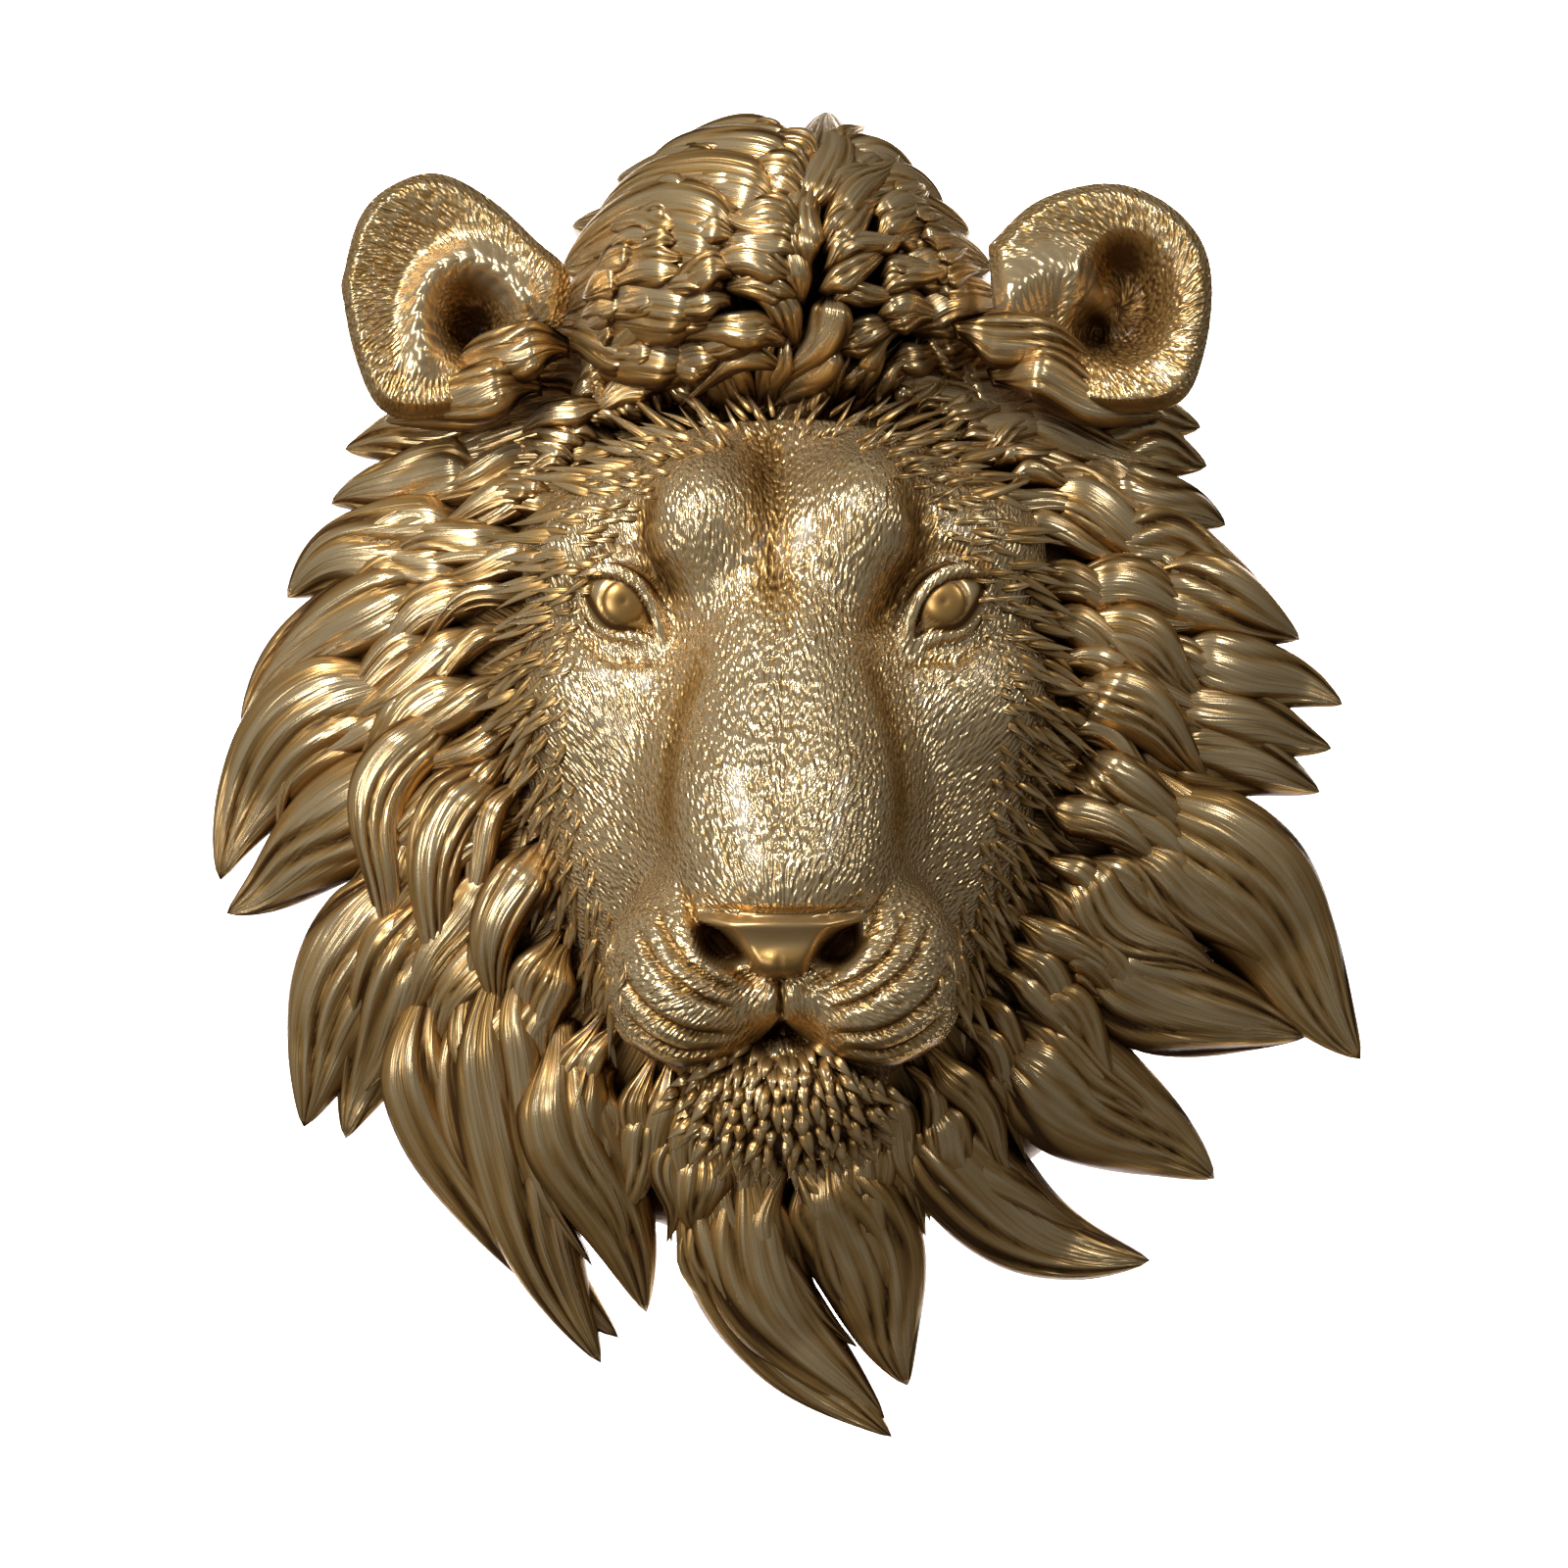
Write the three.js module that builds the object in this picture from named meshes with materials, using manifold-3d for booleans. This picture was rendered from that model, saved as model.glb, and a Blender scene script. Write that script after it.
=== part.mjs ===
// Lion head wall mask, cast in one piece with a flat back and a keyhole slot to hang it by.
// Millimetres. X is to the viewer's right, Z is up, and the wall is the plane Y = 0.
// The lion looks along -Y. Every carved form is laid out as x, h, z, where h is its height off
// the wall, for a mask 300 mm high, and the whole carving follows the height that is set here.
import * as THREE from "three";
import { mergeVertices } from "three/addons/utils/BufferGeometryUtils.js";
import Module from "manifold-3d";

const wasm = await Module();
wasm.setup();

// Driving sizes.
const MASK_HEIGHT = 300;
const KEYHOLE_ENTRY = 12; // the round hole that a screw head passes
const KEYHOLE_SLOT = 6.5; // the slot that its shank slides up
const KEYHOLE_RISE = 14; // from the middle of the hole to the top of the slot
const KEYHOLE_DEPTH = 9;
const KEYHOLE_LIP = 3; // the wall in front of which the screw head sits
const KEYHOLE_UP = 62; // the hole's middle above the mask's middle

// How finely each form is faceted.
const FACE_STEPS = 33; // each way across the face
const RING_SPACING = 13; // along a lock, which has four rings at least
const SHORTEST_EDGE = 1.2;
const LEAST_DOUBLE_AREA = 0.02; // square millimetres, for a triangle that an edge is drawn in beside
const EAR_AROUND = 15;
const EAR_RINGS = 4;

const DRAWN_HEIGHT = 300; // the height that the carving below is laid out for
const carvingScale = MASK_HEIGHT / DRAWN_HEIGHT;
const toModel = ([x, h, z]) => [x * carvingScale, -h * carvingScale, z * carvingScale];

// Small helpers.
const rad = (degrees) => (degrees * Math.PI) / 180;
const mix = (a, b, t) => a + (b - a) * t;
const clamp01 = (t) => Math.min(1, Math.max(0, t));
const smooth = (t) => clamp01(t) ** 2 * (3 - 2 * clamp01(t));
const lengthOf = (...v) => Math.hypot(...v);

function solidFrom(geometry) {
  const bare = new THREE.BufferGeometry().setAttribute("position", geometry.getAttribute("position"));
  bare.setIndex(geometry.index);
  const merged = mergeVertices(bare, 1e-4);
  return new wasm.Manifold(
    new wasm.Mesh({
      numProp: 3,
      vertProperties: new Float32Array(merged.attributes.position.array),
      triVerts: new Uint32Array(merged.index.array),
    }),
  );
}

// A solid from x, h, z points and the triangles between them, which all wind alike.
function solidFromPoints(points, faces) {
  const places = points.map((point) => new THREE.Vector3(...toModel(point)));
  let volume = 0;
  for (let i = 0; i < faces.length; i += 3) {
    const [a, b, c] = faces.slice(i, i + 3).map((k) => places[k]);
    volume += a.dot(b.clone().cross(c));
  }
  const outward = volume > 0 ? faces : faces.toReversed();
  const geometry = new THREE.BufferGeometry();
  geometry.setAttribute("position", new THREE.Float32BufferAttribute(places.flatMap((p) => p.toArray()), 3));
  geometry.setIndex(outward);
  return solidFrom(geometry);
}

// A closed skin over rings of points, from a point at its start to one at its end.
function solidFromRings(start, rings, end) {
  const around = rings[0].length;
  const points = [start, ...rings.flat(), end];
  const faces = [];
  const at = (ring, i) => 1 + ring * around + (i % around);
  for (let i = 0; i < around; i++) {
    faces.push(0, at(0, i + 1), at(0, i));
    for (let ring = 0; ring + 1 < rings.length; ring++) {
      faces.push(at(ring, i), at(ring + 1, i + 1), at(ring + 1, i));
      faces.push(at(ring, i), at(ring, i + 1), at(ring + 1, i + 1));
    }
    faces.push(at(rings.length - 1, i), at(rings.length - 1, i + 1), points.length - 1);
  }
  return solidFromPoints(points, faces);
}

// Joining many forms leaves slivers, so each edge shorter than a length is drawn in to one point,
// where that neither folds a triangle over nor pinches the skin.
function withoutSlivers(solid, shortest) {
  const { vertProperties, triVerts } = solid.getMesh();
  const places = [];
  for (let i = 0; i < vertProperties.length; i += 3) {
    places.push(new THREE.Vector3().fromArray(vertProperties, i));
  }
  const triangles = [];
  for (let i = 0; i < triVerts.length; i += 3) triangles.push([...triVerts.slice(i, i + 3)]);
  const around = places.map(() => new Set());
  triangles.forEach((corners, t) => corners.forEach((v) => around[v].add(t)));
  const neighbours = (v) => {
    const near = new Set([...around[v]].flatMap((t) => triangles[t]));
    near.delete(v);
    return near;
  };
  const facing = (corners, moved, to) => {
    const [a, b, c] = corners.map((v) => (v === moved ? to : places[v]));
    return b.clone().sub(a).cross(c.clone().sub(a));
  };
  const folds = (v, other, to) =>
    [...around[v]].some((t) => {
      if (triangles[t].includes(other)) return false;
      const before = facing(triangles[t]);
      const after = facing(triangles[t], v, to);
      return after.dot(before) < 0.3 * after.length() * before.length() || after.length() < LEAST_DOUBLE_AREA;
    });
  const drawIn = (kept, lost) => {
    const shared = [...neighbours(lost)].filter((v) => neighbours(kept).has(v));
    if (shared.length !== 2 || folds(lost, kept, places[kept])) return false;
    for (const t of [...around[lost]]) {
      if (triangles[t].includes(kept)) {
        triangles[t].forEach((v) => around[v].delete(t));
        triangles[t] = null;
      } else {
        triangles[t] = triangles[t].map((v) => (v === lost ? kept : v));
        around[kept].add(t);
      }
    }
    around[lost].clear();
    return true;
  };
  for (let pass = 0, changed = true; changed && pass < 6; pass++) {
    changed = false;
    for (let v = 0; v < places.length; v++) {
      for (const other of [...neighbours(v)]) {
        if (around[v].size === 0 || around[other].size === 0) continue;
        if (places[v].distanceTo(places[other]) > shortest) continue;
        if (drawIn(v, other) || drawIn(other, v)) changed = true;
      }
    }
  }
  const geometry = new THREE.BufferGeometry();
  geometry.setAttribute("position", new THREE.Float32BufferAttribute(vertProperties, 3));
  geometry.setIndex(triangles.filter(Boolean).flat());
  return solidFrom(geometry);
}

function ballSolid([x, h, z], [halfWide, halfDeep, halfTall], around = 12) {
  const ball = new THREE.SphereGeometry(1, around, around / 2);
  ball.scale(halfWide, halfDeep, halfTall);
  ball.translate(x, -h, z);
  ball.scale(carvingScale, carvingScale, carvingScale);
  return solidFrom(ball);
}

// A round bar that tapers along a line of points, each x, h, z and radius.
function barSolid(stations, around = 5) {
  const places = stations.map(([x, h, z]) => new THREE.Vector3(x, h, z));
  const rings = stations.slice(1, -1).map(([, , , radius], k) => {
    const ahead = places[k + 2].clone().sub(places[k]).normalize();
    const across = new THREE.Vector3(0, 1, 0).cross(ahead).normalize();
    const out = ahead.clone().cross(across);
    return Array.from({ length: around }, (_, i) => {
      const turn = (i / around) * 2 * Math.PI;
      const point = places[k + 1].clone();
      point.addScaledVector(across, -radius * Math.cos(turn)).addScaledVector(out, radius * Math.sin(turn));
      return point.toArray();
    });
  });
  return solidFromRings(places[0].toArray(), rings, places.at(-1).toArray());
}

// The face is one body of rounded forms that run into each other like clay, alike on both sides.
// A ball has its middle and its half sizes, and a bar has its two ends and their radii.
const faceForms = [
  { ball: [0, 20, 36], half: [57, 48, 54], blend: 1 }, // skull
  { ball: [31, 26, 4], half: [26, 38, 46], blend: 16 }, // cheek
  { ball: [0, 36, -36], half: [37, 38, 34], blend: 18 }, // jaw
  { ball: [14, 50, -6], half: [20, 34, 34], blend: 14 }, // root of the muzzle
  { bar: [[0, 63, 46], [4, 88, -4]], radii: [13, 16], blend: 14 }, // bridge of the nose
  { ball: [0, 88, -17], half: [19.5, 24, 17], blend: 10 }, // end of the nose
  { ball: [18.5, 80, -39], half: [18.5, 26, 21], blend: 6 }, // whisker pad
  { ball: [0, 84, -41], half: [10, 19, 10], blend: 6 }, // lip under the nose
  { ball: [0, 72, -65.5], half: [21.5, 22, 14], blend: 4 }, // chin
  { ball: [15, 56, 52], half: [14, 22, 15], blend: 9 }, // brow
  { ball: [36, 44, 53], half: [17, 20, 9], blend: 9 }, // outer brow
  { ball: [37, 44, 18], half: [18, 22, 15], blend: 12 }, // cheek bone
];
const eyeSocket = { ball: [33.5, 76, 37], half: [10.5, 11, 9], blend: 6 };

function ballDistance([x, h, z], [cx, ch, cz], [rx, rh, rz]) {
  const near = lengthOf((x - cx) / rx, (h - ch) / rh, (z - cz) / rz);
  const steep = lengthOf((x - cx) / rx ** 2, (h - ch) / rh ** 2, (z - cz) / rz ** 2);
  return steep < 1e-9 ? -rx : (near * (near - 1)) / steep;
}

function barDistance([x, h, z], [[ax, ah, az], [bx, bh, bz]], [r0, r1]) {
  const [dx, dh, dz] = [bx - ax, bh - ah, bz - az];
  const t = clamp01(((x - ax) * dx + (h - ah) * dh + (z - az) * dz) / (dx * dx + dh * dh + dz * dz));
  return lengthOf(x - ax - dx * t, h - ah - dh * t, z - az - dz * t) - mix(r0, r1, t);
}

function formDistance(p, { ball, half, bar, radii }) {
  return ball ? ballDistance(p, ball, half) : barDistance(p, bar, radii);
}

function meld(a, b, blend) {
  const overlap = Math.max(blend - Math.abs(a - b), 0) / blend;
  return Math.min(a, b) - (overlap * overlap * blend) / 4;
}

function faceDistance([x, h, z]) {
  const p = [Math.abs(x), h, z];
  let d = 1e3;
  for (const form of faceForms) d = meld(d, formDistance(p, form), form.blend);
  return -meld(-d, formDistance(p, eyeSocket), eyeSocket.blend);
}

// How far out a ray from a point meets the face, walking in from outside it.
function meetFace(from, ray, far) {
  let r = far;
  for (let step = 0; step < 90 && r > 8; step++) {
    const d = faceDistance(from.map((c, i) => c + ray[i] * r));
    if (d < 0.02) break;
    r -= d * 0.6;
  }
  return r;
}

const faceHeight = (x, z) => meetFace([x, 0, z], [0, 1, 0], 130);

// The face's skin is a square sheet wrapped on it from a point inside the head, finer in front,
// and its rim is drawn in to a point deep inside.
const HEAD_MIDDLE = [0, 34, -8];
const FACE_SPREAD = 88; // degrees from straight ahead to the skin's rim
const FRONT_FINENESS = 1.25;

function faceSolid() {
  const n = Math.round(FACE_STEPS);
  const points = [];
  for (let j = 0; j <= n; j++) {
    for (let i = 0; i <= n; i++) {
      const [u, v] = [(2 * i) / n - 1, (2 * j) / n - 1];
      const [du, dv] = [u * Math.sqrt(1 - (v * v) / 2), v * Math.sqrt(1 - (u * u) / 2)];
      const far = lengthOf(du, dv);
      const turn = rad(FACE_SPREAD * far ** FRONT_FINENESS);
      const side = far < 1e-6 ? 0 : Math.sin(turn) / far;
      const ray = [side * du, Math.cos(turn), side * dv];
      const r = meetFace(HEAD_MIDDLE, ray, 125);
      points.push(HEAD_MIDDLE.map((c, k) => c + ray[k] * r));
    }
  }
  const faces = [];
  const at = (i, j) => j * (n + 1) + i;
  for (let j = 0; j < n; j++) {
    for (let i = 0; i < n; i++) {
      faces.push(at(i, j), at(i + 1, j), at(i + 1, j + 1), at(i, j), at(i + 1, j + 1), at(i, j + 1));
    }
  }
  const middle = points.length;
  points.push([0, 8, 10]);
  for (let i = 0; i < n; i++) {
    faces.push(at(i + 1, 0), at(i, 0), middle, at(i, n), at(i + 1, n), middle);
    faces.push(at(0, i), at(0, i + 1), middle, at(n, i + 1), at(n, i), middle);
  }
  return solidFromPoints(points, faces);
}

// Lines cut into the face, each point x, z, with how wide and how deep the cut is. Those that
// aren't on the middle are cut on both sides. The fourth is the mouth.
const faceCuts = [
  { line: [[-4, 78], [-3, 62], [-2.5, 48], [-1, 34]], wide: 4, deep: 1.2 }, // forehead furrow
  { line: [[25, 62], [26, 54], [22, 45], [17, 35]], wide: 4.4, deep: 2.6, paired: true }, // frown
  { line: [[0, -37], [0, -42], [0, -48]], wide: 3, deep: 2.4 }, // cleft of the lip
  { line: [[0, -48], [6, -53], [14, -58], [23, -60], [31, -56]], wide: 3.4, deep: 3.4, paired: true },
  { line: [[24, -22], [21, -27], [18, -32]], wide: 3, deep: 2, paired: true }, // beside the nostril
];

function faceCutters({ line, wide, deep, paired }) {
  return (paired ? [-1, 1] : [1]).map((side) => {
    const last = line.length - 1;
    const stations = line.map(([x, z]) => [x * side, faceHeight(x, z) + wide / 2 - deep, z, wide / 2]);
    const overrun = (a, b) => [0, 1, 2].map((k) => b[k] + (b[k] - a[k]) * 0.3).concat(0);
    const start = overrun(stations[1], stations[0]);
    const end = overrun(stations[last - 1], stations[last]);
    return barSolid([start, ...stations, end], 4);
  });
}

// An eye: a ball in its socket between two lids, laid out outward and up from the pupil.
const EYE_APART = 33.6;
const EYE_UP = 38;
const EYE_RADIUS = 10;
const EYE_SET = 60; // the height of the ball's middle
const LID_THICK = 1.7;
const upperLid = [[-9, 67.5, -13], [-5.6, 71, -1.5], [0, 71, 4.8], [5.5, 68, 5.8], [12, 61, 5.5]];
const lowerLid = [
  [-8.6, 67.5, -12.4],
  [-4.6, 69.6, -8.6],
  [0.6, 69, -7.4],
  [5.6, 66.5, -4],
  [8.4, 63.5, 1],
  [11, 60, 5],
];

function eyeSolids(side) {
  const lid = (points) => {
    const last = points.length - 1;
    return barSolid(
      points.map(([out, h, up], i) => [
        side * (EYE_APART + out),
        h,
        EYE_UP + up,
        i === 0 || i === last ? 0 : LID_THICK,
      ]),
    );
  };
  const ball = ballSolid([side * EYE_APART, EYE_SET, EYE_UP], [EYE_RADIUS, EYE_RADIUS, EYE_RADIUS]);
  return [ball, lid(upperLid), lid(lowerLid)];
}

// The bare end of the nose, a plate that narrows to the lip, and the two nostrils beside it.
const NOSE_FRONT = 112;
const NOSE_THICK = 16;
const NOSE_TOP = 27; // below the mask's middle
const NOSE_TILT = 14; // degrees that its lower edge leans back
const nostril = { middle: [13, 109, -32.5], half: [5, 9, 3.6], lean: 28 };

function nosePlate() {
  const outline = new THREE.Shape();
  outline.moveTo(0, -28.5).lineTo(10, -27).lineTo(18.5, -26).quadraticCurveTo(16, -29, 10, -32);
  outline.lineTo(7, -38.5).lineTo(0, -40).lineTo(-7, -38.5).lineTo(-10, -32);
  outline.quadraticCurveTo(-16, -29, -18.5, -26).lineTo(-10, -27);
  const options = { depth: NOSE_THICK, bevelEnabled: false, curveSegments: 2 };
  const plate = new THREE.ExtrudeGeometry(outline, options);
  plate.translate(0, NOSE_TOP, -NOSE_THICK);
  plate.rotateX(Math.PI / 2 + rad(NOSE_TILT));
  plate.translate(0, -NOSE_FRONT, -NOSE_TOP);
  plate.scale(carvingScale, carvingScale, carvingScale);
  return solidFrom(plate);
}

function nostrilCutter(side) {
  const { middle, half, lean } = nostril;
  const hole = new THREE.SphereGeometry(1, 10, 6);
  hole.scale(...half);
  hole.rotateY(rad(-lean * side));
  hole.translate(middle[0] * side, -middle[1], middle[2]);
  hole.scale(carvingScale, carvingScale, carvingScale);
  return solidFrom(hole);
}

// The mane swells from its rim as one mound, with a second one under the crest.
const MANE_RIM = 7;
const MOUND_INSET = 4; // the mounds lie this far below the line of the locks
const mounds = [
  { middle: [0, 2], half: [106, 112], crown: 52 },
  { middle: [-2, 104], half: [52, 42], crown: 62 },
];

function maneHeight(x, z) {
  let height = MANE_RIM;
  for (const { middle, half, crown } of mounds) {
    const out = lengthOf((x - middle[0]) / half[0], (z - middle[1]) / half[1]);
    height = Math.max(height, MANE_RIM + (crown - MANE_RIM) * Math.sqrt(Math.max(0, 1 - out * out)));
  }
  return height;
}

function moundSolid({ middle, half, crown }) {
  const halves = [half[0], crown, half[1]].map((size) => size - MOUND_INSET);
  return ballSolid([middle[0], 0, middle[1]], halves, 16);
}

const BELOW_WALL = -4; // feet that reach the back end here and are cut off flush with it
const LOCK_FOOT = 10; // how deep the other locks sink in what they lie on

// A lock of hair is a bowed body that tapers to its tip, with a groove along it. root and tip are
// x, z. bow and curl move its middle line to its left, at one and two thirds of its length, as it
// runs from root to tip. lift raises it over the locks that it lies on.
// Its section runs over its top from edge to edge, across and up, and its foot is narrower.
const rimSection = {
  top: [[-1, -0.1], [-0.55, 0.8], [-0.05, 0.65], [0.45, 1], [1, -0.1]],
  foot: [0.85, -0.85],
};
const frontSection = { top: [[-1, -0.3], [-0.45, 0.8], [0.3, 1], [1, -0.3]], foot: [0] };
const fringeSection = { top: [[-1, -0.3], [0.1, 1], [1, -0.3]], foot: [0] };

function lockSolid({ root, tip, wide, bow = 0, curl = 0, lift = 0 }, { top, foot }) {
  const run = [tip[0] - root[0], tip[1] - root[1]];
  const long = lengthOf(...run);
  const left = [-run[1] / long, run[0] / long];
  const bend = (t, off) => [0, 1].map((k) => root[k] + run[k] * t + left[k] * off);
  const bends = [root, bend(1 / 3, bow), bend(2 / 3, curl), tip];
  const along = (s) => {
    const weight = [(1 - s) ** 3, 3 * s * (1 - s) ** 2, 3 * s * s * (1 - s), s ** 3];
    return [0, 1].map((k) => weight.reduce((sum, w, i) => sum + w * bends[i][k], 0));
  };
  const place = (s) => {
    const [x, z] = along(s);
    return [x, maneHeight(x, z) + lift * (1 - 0.4 * s), z];
  };
  const thick = 0.28 * wide + 2;
  const count = Math.max(4, Math.round(long / RING_SPACING));
  const rings = Array.from({ length: count }, (_, k) => {
    const s = mix(0.05, 0.95, k / (count - 1));
    const [x, h, z] = place(s);
    const [[ax, az], [bx, bz]] = [along(s - 0.02), along(s + 0.02)];
    const step = lengthOf(bx - ax, bz - az);
    const across = [-(bz - az) / step, (bx - ax) / step];
    const swell = (0.55 + 0.45 * Math.sin((Math.min(s / 0.5, 1) * Math.PI) / 2)) * (1 - s ** 3) ** 0.8;
    const rise = thick * (0.6 + 0.4 * Math.sin(Math.PI * s)) * (1 - s ** 6);
    const half = (wide * swell) / 2;
    const beside = (u, height) => [x + across[0] * u * half, height, z + across[1] * u * half];
    const low = foot.length > 1 ? BELOW_WALL : h - LOCK_FOOT;
    const over = top.map(([u, up]) => beside(u, h + up * rise));
    return [...over, ...foot.map((u) => beside(u, low))];
  });
  const [rx, rh, rz] = place(0);
  const [tx, th, tz] = place(1);
  return solidFromRings([rx, rh - 4, rz], rings, [tx, th - 2, tz]);
}

// The locks that make the mane's outline, from under the left ear down, round and up the right.
const rimLocks = [
  { root: [-62, 80], tip: [-99, 76], wide: 18 },
  { root: [-62, 67], tip: [-102, 63], wide: 20, bow: -2, curl: -3 },
  { root: [-66, 50], tip: [-112, 42], wide: 28, bow: -6, curl: -9 },
  { root: [-70, 46], tip: [-121, 12], wide: 24, bow: -7, curl: -10 },
  { root: [-80, 24], tip: [-125, -22], wide: 30, bow: -10, curl: -16 },
  { root: [-72, 8], tip: [-125, -30], wide: 28, bow: -2, curl: 2 },
  { root: [-78, -14], tip: [-109, -77], wide: 32, bow: -2, curl: -4 },
  { root: [-72, -22], tip: [-101, -79], wide: 26, bow: -2, curl: -2 },
  { root: [-74, -36], tip: [-40, -127], wide: 26, bow: -25, curl: -12, lift: 2 },
  { root: [-60, -36], tip: [-39, -129], wide: 28, bow: -17, curl: -9, lift: 4 },
  { root: [-48, -50], tip: [-34, -119], wide: 26, bow: -6, curl: 2, lift: 4 },
  { root: [-14, -76], tip: [22, -149], wide: 24, bow: -25, curl: -8, lift: 2 },
  { root: [-8, -78], tip: [23, -142], wide: 26, bow: -16, curl: -12, lift: 4 },
  { root: [9, -76], tip: [25, -136], wide: 31, bow: 1, curl: 0, lift: 2 },
  { root: [24, -68], tip: [82, -110], wide: 28, bow: -8, curl: -12 },
  { root: [42, -54], tip: [96, -90], wide: 34, bow: 3, curl: 2 },
  { root: [60, -36], tip: [117, -59], wide: 25, bow: -1, curl: -1 },
  { root: [70, -2], tip: [131, -61], wide: 38, bow: 11, curl: 3 },
  { root: [78, 8], tip: [121, -1], wide: 20, bow: 2, curl: 2 },
  { root: [78, 16], tip: [123, 7], wide: 20, bow: 2, curl: 2 },
  { root: [82, 28], tip: [126, 19], wide: 20, bow: 3, curl: 2, lift: 2 },
  { root: [76, 44], tip: [115, 31], wide: 22, bow: 3, curl: 3, lift: 3 },
  { root: [66, 54], tip: [107, 45], wide: 19, bow: 2, curl: 2, lift: 2 },
  { root: [66, 64], tip: [99, 58], wide: 18, bow: 2, curl: 2, lift: 1 },
  { root: [62, 74], tip: [95, 71], wide: 19, bow: 2, curl: 2 },
  { root: [62, 84], tip: [94, 81], wide: 18, bow: 1, curl: 1 },
];

// The crest's rim, from its left foot over the peak to its right foot.
const crestLocks = [
  { root: [-18, 92], tip: [-46, 114], wide: 22, bow: -4, curl: -3 },
  { root: [-12, 96], tip: [-41, 126], wide: 24, bow: -6, curl: -6 },
  { root: [-6, 100], tip: [-29, 133], wide: 22, bow: -5, curl: -4 },
  { root: [-2, 104], tip: [-24, 141], wide: 22, bow: -5, curl: -4 },
  { root: [0, 106], tip: [-13, 147], wide: 25, bow: -4, curl: -3 },
  { root: [7, 106], tip: [10, 150], wide: 22, bow: 1, curl: 2 },
  { root: [14, 104], tip: [20, 139], wide: 18, bow: 3, curl: 2 },
  { root: [18, 100], tip: [29, 132], wide: 20, bow: 4, curl: 3 },
  { root: [22, 96], tip: [37, 124], wide: 20, bow: 4, curl: 3 },
  { root: [26, 90], tip: [44, 117], wide: 20, bow: 4, curl: 3 },
];

// Locks that stand out in front of the others: the swept crest, the forelock and the hooks.
const frontLocks = [
  { root: [2, 100], tip: [-33, 104], wide: 26, bow: -8, curl: -8, lift: 6 },
  { root: [-2, 90], tip: [-44, 92], wide: 20, bow: -7, curl: -7, lift: 6 },
  { root: [-20, 98], tip: [-54, 98], wide: 18, bow: -5, curl: -4, lift: 5 },
  { root: [12, 108], tip: [-5, 76], wide: 17, bow: 4, curl: -4, lift: 8 },
  { root: [10, 92], tip: [34, 116], wide: 22, bow: 6, curl: 5, lift: 6 },
  { root: [14, 84], tip: [44, 106], wide: 20, bow: 5, curl: 4, lift: 6 },
  { root: [-64, 14], tip: [-84, -43], wide: 20, bow: -18, curl: -13, lift: 8 },
  { root: [-54, 4], tip: [-74, -46], wide: 18, bow: -14, curl: -10, lift: 8 },
  { root: [-46, -12], tip: [-60, -50], wide: 17, bow: -9, curl: -6, lift: 8 },
  { root: [56, -16], tip: [101, -44], wide: 26, bow: -4, curl: -6, lift: 8 },
  { root: [60, 6], tip: [88, -18], wide: 20, bow: -1, curl: 1, lift: 8 },
  { root: [64, 20], tip: [94, 0], wide: 20, bow: 2, curl: 3, lift: 7 },
];

// Shorter locks fringe the face in rows. A row runs between two clock angles, and each lock
// flows a set turn away from straight outward.
const fringeRows = [
  { clocks: [-38, -152], turns: [-60, -18], count: 6, out: 1.2, long: 38, wide: 27, lift: 3 },
  { clocks: [36, 154], turns: [58, -6], count: 6, out: 1.2, long: 38, wide: 27, lift: 3 },
  { clocks: [-9, -148], turns: [-72, -20], count: 8, out: 1, long: 30, wide: 19, lift: 4 },
  { clocks: [7, 148], turns: [68, 2], count: 8, out: 1, long: 30, wide: 19, lift: 4 },
];
const FACE_MIDDLE = [0, 10];
const FACE_HALF = [53, 74];

function fringeLocks({ clocks, turns, count, out, long, wide, lift }) {
  return Array.from({ length: count }, (_, i) => {
    const t = i / (count - 1);
    const clock = rad(mix(...clocks, t));
    const flow = clock + rad(mix(...turns, t));
    const reach = long * (1 + 0.18 * Math.sin(i * 2.4));
    const heading = (angle) => [Math.sin(angle), Math.cos(angle)];
    const root = heading(clock).map((along, k) => FACE_MIDDLE[k] + along * FACE_HALF[k] * out);
    const tip = heading(flow).map((along, k) => root[k] + along * reach);
    const bow = Math.sign(clock) * 0.12 * reach;
    return { root, tip, wide, bow, curl: bow, lift: lift + Math.sin(i * 1.7) };
  });
}

// An ear is a furry cup on the head, with a hollow and a smooth tuft inside it.
const EAR_HALF = [25.5, 28.5];
const EAR_RIM = 43; // the rim's height off the wall
const EAR_CUP = 17; // how deep the hollow is below the rim
const EAR_FLESH = 9; // from the rim to the ear's back
const ears = [
  { middle: [-72.5, 104.5], hollow: [5, -5], tuft: [13, -2], lean: -3 },
  { middle: [67, 103], hollow: [-5, -4], tuft: [-11, 1], lean: 3 },
];

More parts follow.
